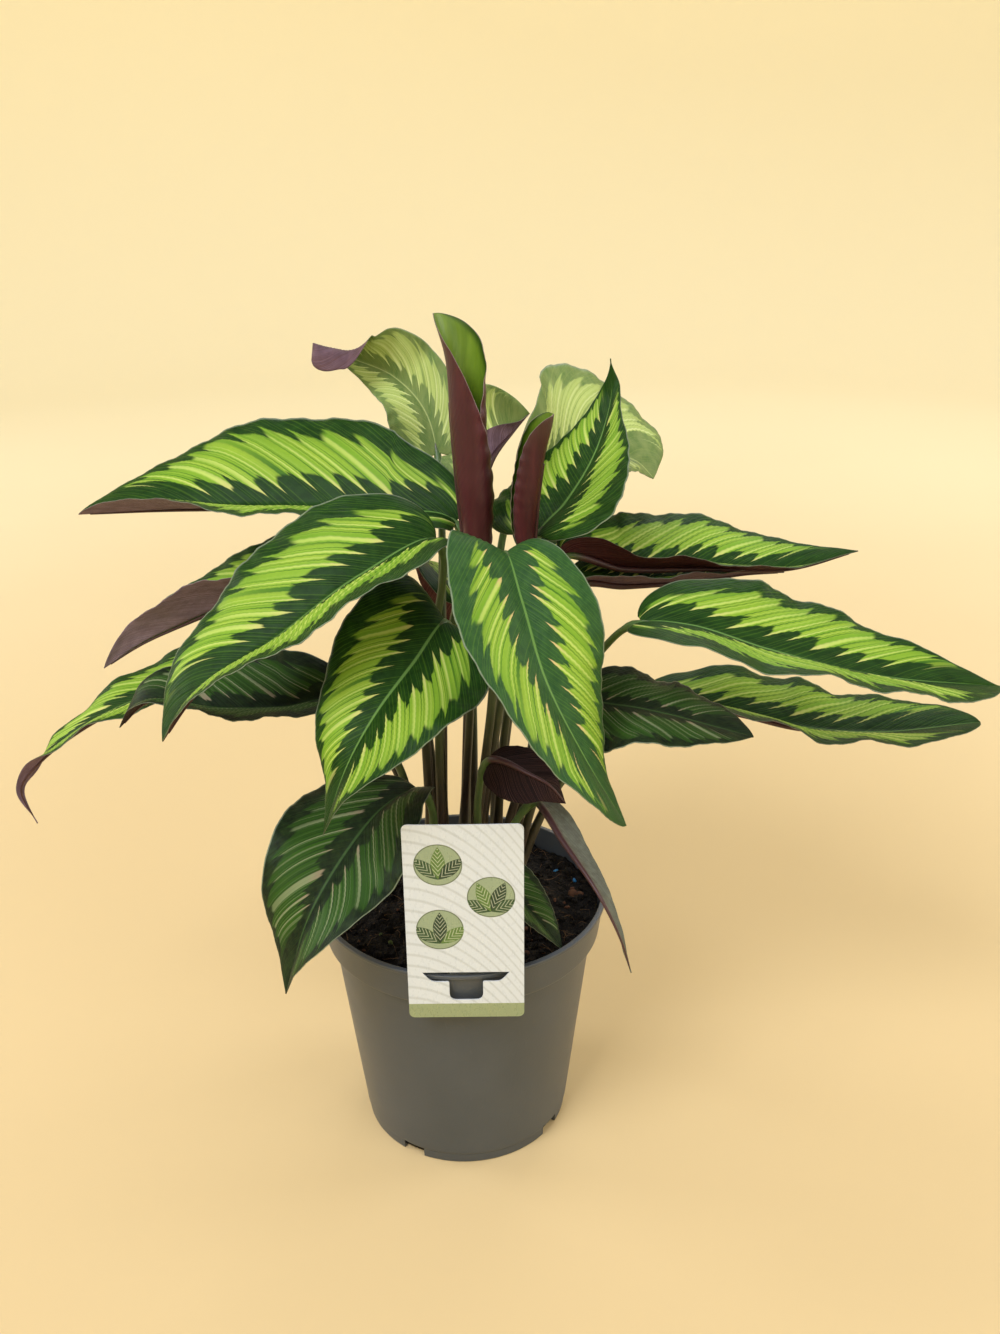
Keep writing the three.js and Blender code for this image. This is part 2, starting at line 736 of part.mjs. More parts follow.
function buildLeaf(leaf) {
  const path = pathOf(leaf);
  const count = (leaf.tube ? ACROSS_ROLLED : ACROSS).length;
  const stalkStations = [0, path.straightAt];
  const steps = leaf.tube ? ROLLED_STALK_STEPS : STALK_STEPS;
  for (let i = 1; i <= steps; i += 1) {
    stalkStations.push(path.straightAt + ((path.baseAt - path.straightAt) * i) / steps);
  }
  const stalkRings = stalkStations.map((share) => {
    const { point, tangent } = path.at(share);
    const thinning = Math.max(0, (share - path.straightAt) / (path.baseAt - path.straightAt));
    const radius = STALK_RADIUS + (STALK_TOP_RADIUS - STALK_RADIUS) * thinning;
    return stalkRing(point, carried(path.baseFrame, tangent), radius, count);
  });
  const bladeRings = ALONG.map((t) => bladeRing(leaf, path, t));
  const positions = [...stalkRings.flat(), ...bladeRings.flat()].flatMap((p) => [p.x, p.y, p.z]);
  const triangles = [];
  const quad = (a, b, c, d) => triangles.push(a, b, c, a, c, d);
  for (let k = 0; k < stalkRings.length - 1; k += 1) {
    for (let i = 0; i < count; i += 1) {
      const j = (i + 1) % count;
      quad(k * count + i, k * count + j, (k + 1) * count + j, (k + 1) * count + i);
    }
  }
  const top = (stalkRings.length - 1) * count;
  const first = stalkRings.length * count;
  const loop = 2 * count;
  for (let i = 0; i < count; i += 1) {
    const j = (i + 1) % count;
    const near = first + 2 * i;
    const far = first + ((2 * i + 2) % loop);
    triangles.push(top + i, near + 1, near);
    triangles.push(top + i, top + j, near + 1);
    triangles.push(top + j, far, near + 1);
  }
  for (let k = 0; k < bladeRings.length - 1; k += 1) {
    for (let i = 0; i < loop; i += 1) {
      const j = (i + 1) % loop;
      const a = first + k * loop + i;
      const b = first + k * loop + j;
      if (i < count) {
        quad(a, b, b + loop, a + loop);
      } else {
        triangles.push(a, b, a + loop, b, b + loop, a + loop);
      }
    }
  }
  const last = first + (bladeRings.length - 1) * loop;
  for (let i = 1; i < count - 1; i += 1) {
    triangles.push(0, i + 1, i);
  }
  for (let i = 1; i < loop - 1; i += 1) {
    triangles.push(last, last + i, last + i + 1);
  }
  return geometryFromSolid(solidFromArrays(positions, triangles));
}

function meshOf(name, geometry, colour, roughness) {
  const material = new THREE.MeshStandardMaterial({ color: colour, roughness, metalness: 0 });
  const mesh = new THREE.Mesh(geometry, material);
  mesh.name = name;
  return mesh;
}

const plant = new THREE.Group();
plant.name = 'potted_calathea';
plant.add(meshOf('pot', buildPot(), COLOURS.pot, 0.45));
plant.add(meshOf('soil', buildSoil(), COLOURS.soil, 0.95));
plant.add(meshOf('hang_tag', buildTag(), COLOURS.card, 0.35));
LEAVES.forEach((leaf) => {
  const colour = leaf.tube ? COLOURS.rolled : COLOURS[leaf.tone ?? 'bright'];
  plant.add(meshOf(leaf.name, buildLeaf(leaf), colour, 0.45));
});

export default plant;
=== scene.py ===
"""A calathea with striped leaves in a grey nursery pot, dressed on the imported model.

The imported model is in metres: +Z is up, the pot stands on z = 0 and the hang tag marks the front, at -Y.
The leaves, the pot and the tag are set out here in millimetres, and each piece is turned to metres when
its mesh is made.
"""

from __future__ import annotations

import logging
import math
from dataclasses import dataclass, field
from enum import Enum
from functools import partial
from itertools import product
from typing import Callable, Optional, Union

import bpy
import numpy as np
from mathutils import Euler, Matrix, Vector

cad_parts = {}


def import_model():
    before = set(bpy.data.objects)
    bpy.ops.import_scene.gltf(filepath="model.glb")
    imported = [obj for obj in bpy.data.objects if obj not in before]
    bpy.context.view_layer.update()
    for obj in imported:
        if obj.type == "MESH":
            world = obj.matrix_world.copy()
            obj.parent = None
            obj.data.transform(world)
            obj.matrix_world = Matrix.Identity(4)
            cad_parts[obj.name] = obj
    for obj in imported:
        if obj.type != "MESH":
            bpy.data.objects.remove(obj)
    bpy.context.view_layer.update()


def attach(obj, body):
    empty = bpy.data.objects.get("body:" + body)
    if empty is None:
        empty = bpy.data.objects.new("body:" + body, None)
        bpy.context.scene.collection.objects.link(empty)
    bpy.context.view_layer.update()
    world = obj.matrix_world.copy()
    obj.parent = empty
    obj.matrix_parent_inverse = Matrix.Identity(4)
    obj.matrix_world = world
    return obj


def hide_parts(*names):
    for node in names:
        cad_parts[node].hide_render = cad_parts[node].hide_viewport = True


LOG = logging.getLogger("calathea")
BODY = "root"
MILLIMETRE = 0.001
METRE = 1000.0
SMOOTH = {"interpolation_type": "SMOOTHSTEP"}

Point = tuple[float, float, float]
FlatPoint = tuple[float, float]
Face = tuple[int, ...]
Source = Union[bpy.types.NodeSocket, float, tuple, str]
Adder = Callable[..., bpy.types.NodeSocket]


def linear(hex_colour: str) -> tuple[float, float, float, float]:
    """Turns an sRGB hex colour to a linear one.

    Args:
        hex_colour: The colour as "#rrggbb".

    Returns:
        Red, green, blue and alpha, linear, from 0 to 1.
    """
    channels = [int(hex_colour[k : k + 2], 16) / 255 for k in (1, 3, 5)]
    curved = [c / 12.92 if c <= 0.04045 else ((c + 0.055) / 1.055) ** 2.4 for c in channels]
    return (curved[0], curved[1], curved[2], 1.0)


def smooth_step(value: np.ndarray, low: float, high: float) -> np.ndarray:
    """Eases from 0 at low to 1 at high.

    Args:
        value: Where to take the step.
        low: Value that gives 0.
        high: Value that gives 1.

    Returns:
        The eased share, of the same shape as value.
    """
    share = np.clip((value - low) / (high - low), 0, 1)
    return share * share * (3 - 2 * share)


def add_node(
    tree: bpy.types.NodeTree,
    kind: str,
    links: Union[dict, tuple] = (),
    output: Optional[str] = None,
    **settings: object,
) -> bpy.types.NodeSocket:
    """Adds one shader node with its settings and links.

    Args:
        tree: The material's node tree.
        kind: The node's type, without its "ShaderNode" prefix.
        links: For each input by its name, or for the inputs in use in their order, a socket to link from
            or a value to set.
        output: Name of the output that is wanted.
        **settings: Properties of the node.

    Returns:
        That output, or else the first one in use.
    """
    node = tree.nodes.new("ShaderNode" + kind)
    for name, value in settings.items():
        setattr(node, name, value)
    sockets = [socket for socket in node.inputs if socket.enabled]
    if isinstance(links, dict):
        names = [socket.name for socket in sockets]
        sockets = [sockets[names.index(name)] for name in links]
        links = tuple(links.values())
    for socket, value in zip(sockets, links):
        if isinstance(value, bpy.types.NodeSocket):
            tree.links.new(value, socket)
        else:
            socket.default_value = linear(value) if isinstance(value, str) else value
    if output:
        return node.outputs[output]
    return next((socket for socket in node.outputs if socket.enabled), None)


def set_mark(mesh: bpy.types.Mesh, name: str, values: np.ndarray) -> None:
    """Gives each point of a mesh a named value."""
    mesh.attributes.new(name, "FLOAT", "POINT").data.foreach_set("value", values.astype(np.float32))


@dataclass
class Sheet:
    """The points and faces of a piece while it is being put together.

    Attributes:
        points: Arrays of points in millimetres.
        faces: Corner numbers of each face.
        slots: Material slot of each face.
        marks: Named values of each point, for the materials.
        count: How many points there are so far.
    """

    points: list[np.ndarray] = field(default_factory=list)
    faces: list[Face] = field(default_factory=list)
    slots: list[int] = field(default_factory=list)
    marks: dict[str, list[np.ndarray]] = field(default_factory=dict)
    count: int = 0

    def add(self, points: np.ndarray, faces: list, slot: int = 0, **marks: object) -> None:
        """Adds a set of points and the faces between them.

        Args:
            points: Points in millimetres, one a row.
            faces: Corner numbers, counted within these points.
            slot: Material slot of the faces.
            **marks: Named values, one for each point or one for all.
        """
        self.points.append(points)
        for face in faces:
            self.faces.append(tuple(corner + self.count for corner in face))
            self.slots.append(slot)
        for name, value in marks.items():
            self.marks.setdefault(name, []).append(np.broadcast_to(value, (len(points),)))
        self.count += len(points)

    def piece(self, name: str, materials: list[bpy.types.Material], smooth: bool = True) -> bpy.types.Object:
        """Makes the mesh and its object.

        Args:
            name: Name of the piece.
            materials: Materials in the order of the slots.
            smooth: Whether the faces are shaded smooth.

        Returns:
            The object, in metres.
        """
        mesh = bpy.data.meshes.new(name)
        mesh.from_pydata(np.concatenate(self.points) * MILLIMETRE, [], self.faces)
        mesh.polygons.foreach_set("material_index", self.slots)
        mesh.polygons.foreach_set("use_smooth", [smooth] * len(self.faces))
        for mark, values in self.marks.items():
            set_mark(mesh, mark, np.concatenate(values))
        for material in materials:
            mesh.materials.append(material)
        mesh.update()
        piece = bpy.data.objects.new(name, mesh)
        bpy.context.scene.collection.objects.link(piece)
        return piece


def tube_faces(rings: int, around: int) -> list[Face]:
    """Faces of a tube of equal rings, closed at both ends.

    Args:
        rings: How many rings there are.
        around: How many points are in a ring.

    Returns:
        The corner numbers of each face.
    """
    faces = []
    for ring in range(rings - 1):
        for i in range(around):
            j = (i + 1) % around
            low = ring * around
            faces.append((low + i, low + j, low + around + j, low + around + i))
    last = (rings - 1) * around
    faces.append(tuple(reversed(range(around))))
    faces.append(tuple(range(last, last + around)))
    return faces


def sheet_faces(rows: int, columns: int) -> list[Face]:
    """Faces of a thin sheet: one layer of points over another, closed around the edge.

    Args:
        rows: How many rows of points a layer has.
        columns: How many points are in a row.

    Returns:
        The corner numbers of each face.
    """
    size = rows * columns
    faces = []
    for i, j in product(range(rows - 1), range(columns - 1)):
        a = i * columns + j
        faces.append((a, a + 1, a + columns + 1, a + columns))
        faces.append((size + a, size + a + columns, size + a + columns + 1, size + a + 1))
    for i in range(rows - 1):
        a, b = i * columns, (i + 1) * columns - 1
        faces.append((a, a + columns, size + a + columns, size + a))
        faces.append((b, size + b, size + b + columns, b + columns))
    for a in range(columns - 1):
        b = (rows - 1) * columns + a
        faces.append((a, size + a, size + a + 1, a + 1))
        faces.append((b, b + 1, size + b + 1, size + b))
    return faces


def circles(profile: list[FlatPoint], sides: int) -> np.ndarray:
    """Points of the circles that a profile makes when it is turned about the Z axis.

    Args:
        profile: Radius and height of each circle.
        sides: Points around a circle.

    Returns:
        The points, circle by circle.
    """
    angles = 2 * math.pi * np.arange(sides) / sides
    across, deep = np.cos(angles), np.sin(angles)
    return np.concatenate([np.stack([r * across, r * deep, np.full(sides, z)], -1) for r, z in profile])


class Tone(Enum):
    """How old a leaf is, which sets its markings, and for some leaves the painted light or shade over them.
    """

    BRIGHT = "bright"
    WARM = "warm"
    # Painted light: pale and low in contrast, as leaves that light shines through from behind.
    PAINTED_BACKLIGHT = "faded"
    # The duller colours of old leaves, darkened further as painted shade under the others.
    OLD_AND_SHADED = "old"
    ROLLED = "rolled"


class SpacedCurve:
    """A smooth curve through points, walked at even pace from one end to the other."""

    STEPS = 60

    def __init__(self, points: list[Point]) -> None:
        """Measures the curve.

        Args:
            points: Points that the curve passes, in millimetres.
        """
        self.points = [np.array(point, float) for point in points]
        self.spans = len(points) - 1
        places = np.linspace(0, self.spans, self.STEPS * self.spans + 1)
        self.walked = np.array([self._at(place) for place in places])
        lengths = np.linalg.norm(np.diff(self.walked, axis=0), axis=1)
        self.lengths = np.concatenate([[0.0], np.cumsum(lengths)])

    def _at(self, place: float) -> np.ndarray:
        """A point of the centripetal curve.

        Args:
            place: Number of the span, with the share walked in it.

        Returns:
            The point in millimetres.
        """
        span = min(int(place), self.spans - 1)
        share = place - span
        p1, p2 = self.points[span], self.points[span + 1]
        p0 = self.points[span - 1] if span > 0 else 2 * p1 - p2
        p3 = self.points[span + 2] if span + 2 <= self.spans else 2 * p2 - p1
        d0, d1, d2 = (math.sqrt(np.linalg.norm(b - a)) for a, b in ((p0, p1), (p1, p2), (p2, p3)))
        leaving = ((p1 - p0) / d0 - (p2 - p0) / (d0 + d1) + (p2 - p1) / d1) * d1
        arriving = ((p2 - p1) / d1 - (p3 - p1) / (d1 + d2) + (p3 - p2) / d2) * d1
        square = -3 * p1 + 3 * p2 - 2 * leaving - arriving
        cube = 2 * p1 - 2 * p2 + leaving + arriving
        return p1 + leaving * share + square * share**2 + cube * share**3

    def length_to(self, number: int) -> float:
        """Length of the curve up to one of its points."""
        return float(self.lengths[self.STEPS * number])

    def point(self, length: np.ndarray) -> np.ndarray:
        """Points at these lengths along the curve."""
        return np.stack([np.interp(length, self.lengths, self.walked[:, k]) for k in range(3)], -1)

    def tangent(self, length: np.ndarray) -> np.ndarray:
        """Directions at these lengths along the curve.

        Args:
            length: Lengths from the start, in millimetres.

        Returns:
            Unit vectors, one a row.
        """
        ahead = self.point(np.minimum(length + 1, self.lengths[-1]))
        behind = self.point(np.maximum(length - 1, 0))
        along = ahead - behind
        return along / np.linalg.norm(along, axis=-1, keepdims=True)


def between(stations: tuple[float, ...], share: np.ndarray) -> np.ndarray:
    """Values between evenly spaced stations, eased from one to the next.

    Args:
        stations: The values at the stations.
        share: Where to read them, from 0 to 1.

    Returns:
        A value for each share.
    """
    values = np.array(stations, float)
    place = np.clip(share, 0, 1) * (len(values) - 1)
    first = np.minimum(place.astype(int), len(values) - 2)
    part = place - first
    ease = part * part * (3 - 2 * part)
    return values[first] * (1 - ease) + values[first + 1] * ease


Halves = tuple[tuple[float, ...], tuple[float, ...]]
Arrays = tuple[np.ndarray, ...]


@dataclass
class Leaf:
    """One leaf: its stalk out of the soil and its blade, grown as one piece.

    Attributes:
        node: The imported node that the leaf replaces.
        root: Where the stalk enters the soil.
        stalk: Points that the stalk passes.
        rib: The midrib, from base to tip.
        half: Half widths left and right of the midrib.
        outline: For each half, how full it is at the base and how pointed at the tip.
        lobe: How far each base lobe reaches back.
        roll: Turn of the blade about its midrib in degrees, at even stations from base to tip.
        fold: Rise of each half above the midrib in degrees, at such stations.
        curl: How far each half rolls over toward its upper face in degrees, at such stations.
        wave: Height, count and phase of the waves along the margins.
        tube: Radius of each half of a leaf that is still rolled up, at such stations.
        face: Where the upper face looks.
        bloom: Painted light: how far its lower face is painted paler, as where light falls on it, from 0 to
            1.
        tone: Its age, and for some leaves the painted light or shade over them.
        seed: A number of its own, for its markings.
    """

    node: str
    root: FlatPoint
    stalk: tuple[Point, ...]
    rib: tuple[Point, ...]
    half: FlatPoint
    outline: tuple[FlatPoint, FlatPoint]
    lobe: FlatPoint = (8, 8)
    roll: tuple[float, ...] = (0, 0, 0)
    fold: Halves = ((20, 20), (20, 20))
    curl: Halves = ((0, 0), (0, 0))
    wave: tuple[float, float, float] = (0, 0, 0)
    tube: Optional[Halves] = None
    face: Point = (0, 0, 1)
    bloom: float = 0.0
    tone: Tone = Tone.BRIGHT
    seed: float = 0.0


@dataclass
class LeafMaker:
    """Builds a leaf's mesh.

    Attributes:
        root_depth: Height at which a stalk ends in the soil.
        straight_top: Height up to which it stands straight.
        stalk_radius: Radius of a stalk at the soil.
        stalk_top_radius: Radius where it meets the blade.
        tip_radius: Radius of the midrib at the leaf's tip.
        sheath: Length of the sheath above the soil.
        sheath_swell: How much thicker the stalk is in it.
        knee: Length of the thicker joint under the blade.
        knee_swell: How much thicker the joint is.
        groove: Depth of the groove along the stalk, as a share of its radius.
        thickness: Thickness of the blade.
        edge_thickness: Thickness of the blade at its margin.
        arch: How much each half arches over, in degrees.
        lobe_reach: Share of the blade's length that the base lobes take.
        ribbing: Height of the corrugation between the side veins.
        sweep: Share of the blade's length by which a side vein runs forward to the margin.
        teeth: Number of pale bands along each half.
        along_steps: Rows of faces along a blade.
        across_steps: Rows of faces across each half.
        stalk_steps: Rows of faces along a stalk.
        around: Faces around a stalk.
    """

    root_depth: float = 112
    straight_top: float = 147
    stalk_radius: float = 3.0
    stalk_top_radius: float = 2.0
    tip_radius: float = 0.3
    sheath: float = 62
    sheath_swell: float = 0.7
    knee: float = 13
    knee_swell: float = 0.55
    groove: float = 0.16
    thickness: float = 0.6
    edge_thickness: float = 0.25
    arch: float = 24
    lobe_reach: float = 0.3
    ribbing: float = 0.38
    sweep: float = 0.36
    teeth: float = 14
    along_steps: int = 150
    across_steps: int = 17
    stalk_steps: int = 60
    around: int = 16

    def path(self, leaf: Leaf) -> tuple[SpacedCurve, float]:
        """The line of a leaf from the foot of its stalk to its tip.

        Args:
            leaf: The leaf.

        Returns:
            The curve, and the length along it at which the blade begins.
        """
        x, y = leaf.root
        foot = [(x, y, self.root_depth), (x, y, self.straight_top), (x, y, self.straight_top + 6)]
        curve = SpacedCurve([*foot, *leaf.stalk, *leaf.rib])
        return curve, curve.length_to(len(foot) + len(leaf.stalk))

    def frames(self, leaf: Leaf, curve: SpacedCurve, base: float, share: np.ndarray) -> Arrays:
        """The blade's own directions along its midrib.

        Args:
            leaf: The leaf.
            curve: Its line.
            base: Length at which the blade begins.
            share: Shares of the blade's length.

        Returns:
            Points, directions along, directions to the right and directions out of the upper face.
        """
        length = base + share * (curve.lengths[-1] - base)
        point = curve.point(length)
        along = curve.tangent(length)
        face = np.array(leaf.face, float)
        up = face - along * (along @ face)[:, None]
        up /= np.linalg.norm(up, axis=1, keepdims=True)
        right = np.cross(along, up)
        turn = np.radians(between(leaf.roll, share))[:, None]
        normal = up * np.cos(turn) + right * np.sin(turn)
        return point, along, np.cross(along, normal), normal

    def fullness(self, outline: tuple[float, float], share: np.ndarray) -> np.ndarray:
        """How wide a half is along the blade, as a share of its widest place."""
        base, tip = outline
        widest = base / (base + tip)
        top = widest**base * (1 - widest) ** tip
        return share**base * (1 - share) ** tip / top

    def half_blade(self, leaf: Leaf, frames: Arrays, share: np.ndarray, side: int) -> dict:
        """One half of the blade's middle surface.

        Args:
            leaf: The leaf.
            frames: The blade's directions at each share.
            share: Shares of the blade's length.
            side: 0 for the left half, 1 for the right.

        Returns:
            Points, directions out of the upper face, and the marks of each point.
        """
        point, along, right, normal = (array[:, None, :] for array in frames)
        steps = self.across_steps * (2 if leaf.tube else 1)
        reach = np.linspace(0, 1, steps + 1)[None, :] ** 0.9
        t = share[:, None]
        sign = -1 if side == 0 else 1
        width = np.maximum(leaf.half[side] * self.fullness(leaf.outline[side], t), 0.35)
        if leaf.tube:
            start = np.zeros_like(t)
            bend = width / between(leaf.tube[side], t)
        else:
            start = np.radians(between(leaf.fold[side], t) + self.arch / 2)
            bend = np.radians(between(leaf.curl[side], t) - self.arch)
        angle = start + bend * reach
        out = width * (np.sin(angle) - np.sin(start)) / bend
        rise = width * (np.cos(start) - np.cos(angle)) / bend
        back = np.maximum(0, 1 - t / self.lobe_reach) ** 2 * (t / (t + 0.012)) * leaf.lobe[side] * reach**1.3
        facing = -sign * np.sin(angle)[..., None] * right + np.cos(angle)[..., None] * normal
        height, count, phase = leaf.wave
        turns = count * t + phase + (0.4 if side == 1 else 0)
        wave = height * reach**2 * np.sin(2 * math.pi * turns) * np.sin(math.pi * np.minimum(1, 1.1 * t))
        sweep = self.sweep * (width / max(leaf.half)) ** 0.35
        vein = t - sweep * (0.85 * reach + 0.15 * reach**2)
        ribs = (0.3 if leaf.tube else 1) * self.ribbing * np.sin(2 * math.pi * vein * self.teeth * 2)
        ribs = ribs * smooth_step(reach, 0.05, 0.3) * (1 - 0.6 * smooth_step(reach, 0.7, 1.0)) * (width / 40)
        ripple = 0.5 * reach**4 * np.sin(2 * math.pi * (11 * t + 3 * leaf.seed + side * 0.3)) * (width / 40)
        surface = point + sign * out[..., None] * right + rise[..., None] * normal - back[..., None] * along
        surface = surface + (wave + ribs + ripple)[..., None] * facing
        shape = vein.shape
        return {
            "surface": surface,
            "facing": facing,
            "reach": np.broadcast_to(sign * reach, shape),
            "vein": vein,
            "along": np.broadcast_to(t, shape),
        }

    def blade(self, leaf: Leaf, curve: SpacedCurve, base: float, sheet: Sheet) -> None:
        """Adds the blade: an upper and a lower face that meet around the margin.

        Args:
            leaf: The leaf.
            curve: Its line.
            base: Length at which the blade begins.
            sheet: Where the blade is added.
        """
        share = np.linspace(0, 1, self.along_steps + 1)
        share = 0.006 + 0.994 * (0.75 * share + 0.25 * (3 * share**2 - 2 * share**3))
        frames = self.frames(leaf, curve, base, share)
        left = self.half_blade(leaf, frames, share, 0)
        right = self.half_blade(leaf, frames, share, 1)
        whole = {key: np.concatenate([left[key][:, :0:-1], right[key]], axis=1) for key in left}
        rows, columns = whole["vein"].shape
        edge = smooth_step(np.abs(whole["reach"]), 0.8, 1.0)
        thick = (self.thickness * (1 - edge) + self.edge_thickness * edge) / 2
        upper = whole["surface"] + whole["facing"] * thick[..., None]
        lower = whole["surface"] - whole["facing"] * thick[..., None]
        points = np.concatenate([upper.reshape(-1, 3), lower.reshape(-1, 3)])
        marks = {key: np.tile(whole[key].reshape(-1), 2) for key in ("reach", "vein", "along")}
        marks["upper"] = np.repeat([1.0, 0.0], rows * columns)
        faces = sheet_faces(rows, columns)
        sheet.add(points, faces, 0, seed=leaf.seed, bloom=leaf.bloom, climb=1.0, **marks)

    def stem(self, leaf: Leaf, curve: SpacedCurve, base: float, sheet: Sheet) -> None:
        """Adds the stalk, which runs on under the blade as its midrib.

        Args:
            leaf: The leaf.
            curve: Its line.
            base: Length at which the blade begins.
            sheet: Where the stem is added.
        """
        end = curve.lengths[-1]
        stalk = np.linspace(0, base, self.stalk_steps, endpoint=False)
        rib_end = end - (0.03 if leaf.tube is None else 0.35) * (end - base)
        length = np.concatenate([stalk, np.linspace(base, rib_end, self.stalk_steps)])
        climb = np.where(length < base, length / base, 1 + (length - base) / (end - base))
        point = curve.point(length)
        along = curve.tangent(length)
        share = np.clip((length - base) / (end - base), 0, 1)
        first = self.frames(leaf, curve, base, np.zeros(1))
        blade = self.frames(leaf, curve, base, share)
        normal = np.where((length < base)[:, None], first[3], blade[3])
        normal = normal - along * np.sum(along * normal, axis=1, keepdims=True)
        normal /= np.linalg.norm(normal, axis=1, keepdims=True)
        right = np.cross(along, normal)
        straight = self.straight_top - self.root_depth
        thinning = np.clip((length - straight) / (base - straight), 0, 1)
        radius = self.stalk_radius + (self.stalk_top_radius - self.stalk_radius) * thinning
        sheath = smooth_step(length, straight, straight + 14)
        sheath = sheath * (1 - smooth_step(length, straight + 20, straight + self.sheath))
        radius = radius + self.sheath_swell * sheath
        swell = smooth_step(length, base - self.knee, base - 0.75 * self.knee)
        swell = swell * (1 - smooth_step(length, base - 0.3 * self.knee, base + 2))
        radius = radius + self.knee_swell * swell
        rib = self.stalk_top_radius * (1 - share) ** 1.1 * (0.5 if leaf.tube else 1) + self.tip_radius
        sinking = smooth_step(length, base - 4, base + 10)
        radius = radius * (1 - sinking) + rib * sinking
        drop = np.maximum(radius - 0.12, 0) * sinking
        centre = point - normal * drop[:, None]
        turn = -2 * math.pi * np.arange(self.around) / self.around
        wide = np.cos(turn)[None, :, None] * right[:, None, :]
        tall = np.sin(turn)[None, :, None] * normal[:, None, :]
        groove = 1 - self.groove * np.maximum(0, np.sin(turn))[None, :] ** 6 * (1 - sinking)[:, None]
        rings = centre[:, None, :] + (wide + tall) * (radius[:, None] * groove)[..., None]
        marks = {"climb": np.repeat(climb, self.around), "seed": leaf.seed, "bloom": leaf.bloom}
        faces = tube_faces(len(length), self.around)
        sheet.add(rings.reshape(-1, 3), faces, 1, reach=0.0, vein=0.0, along=0.0, upper=0.0, **marks)

    def build(self, leaf: Leaf, blade: bpy.types.Material, stem: bpy.types.Material) -> bpy.types.Object:
        """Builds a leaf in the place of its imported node.

        Args:
            leaf: The leaf.
            blade: Finish of the blade.
            stem: Finish of the stalk and midrib.

        Returns:
            The leaf's object.
        """
        curve, base = self.path(leaf)
        sheet = Sheet()
        self.blade(leaf, curve, base, sheet)
        self.stem(leaf, curve, base, sheet)
        piece = sheet.piece("grown_" + leaf.node, [blade, stem])
        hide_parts(leaf.node)
        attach(piece, BODY)
        return piece


@dataclass(frozen=True)
class Finish:
    """A material, named for what the real one is and how its surface was made.

    Attributes:
        name: Name of the material.
    """

    name: str

    def dress(self, add: Adder) -> None:
        """Adds the finish's own nodes, each through add."""
        raise NotImplementedError

    def make(self) -> bpy.types.Material:
        """Makes the material.

        Returns:
            The material, dressed.
        """
        material = bpy.data.materials.new(self.name)
        material.use_nodes = True
        material.node_tree.nodes.clear()
        self.dress(partial(add_node, material.node_tree))
        return material


def layered(add: Adder, ground: Source, *layers: tuple[Source, Source]) -> bpy.types.NodeSocket:
    """Lays colours over a ground, one after another.

    Args:
        add: Adds a node to the material.
        ground: The colour below them.
        *layers: For each, how far it covers what is below, from 0 to 1, and its colour.

    Returns:
        The colour on top.
    """
    for cover, colour in layers:
        ground = add("Mix", (cover, ground, colour), data_type="RGBA")
    return ground


def shade(
    add: Adder,
    colour: Source,
    roughness: Source,
    bump: Optional[bpy.types.NodeSocket] = None,
    bump_height: float = 0.0001,
    **sockets: float,
) -> None:
    """Ends a material in a Principled shader.

    Args:
        add: Adds a node to the material.
        colour: Base colour.
        roughness: Roughness.
        bump: Height pattern from 0 to 1, if any.
        bump_height: Height of the pattern in metres.
        **sockets: Other inputs of the shader, with underscores for the spaces in their names.
    """
    links: dict = {"Base Color": colour, "Roughness": roughness}
    if bump is not None:
        links["Normal"] = add("Bump", {"Strength": 1.0, "Distance": bump_height, "Height": bump})
    links.update({name.replace("_", " "): value for name, value in sockets.items()})
    add("OutputMaterial", {"Surface": add("BsdfPrincipled", links)})


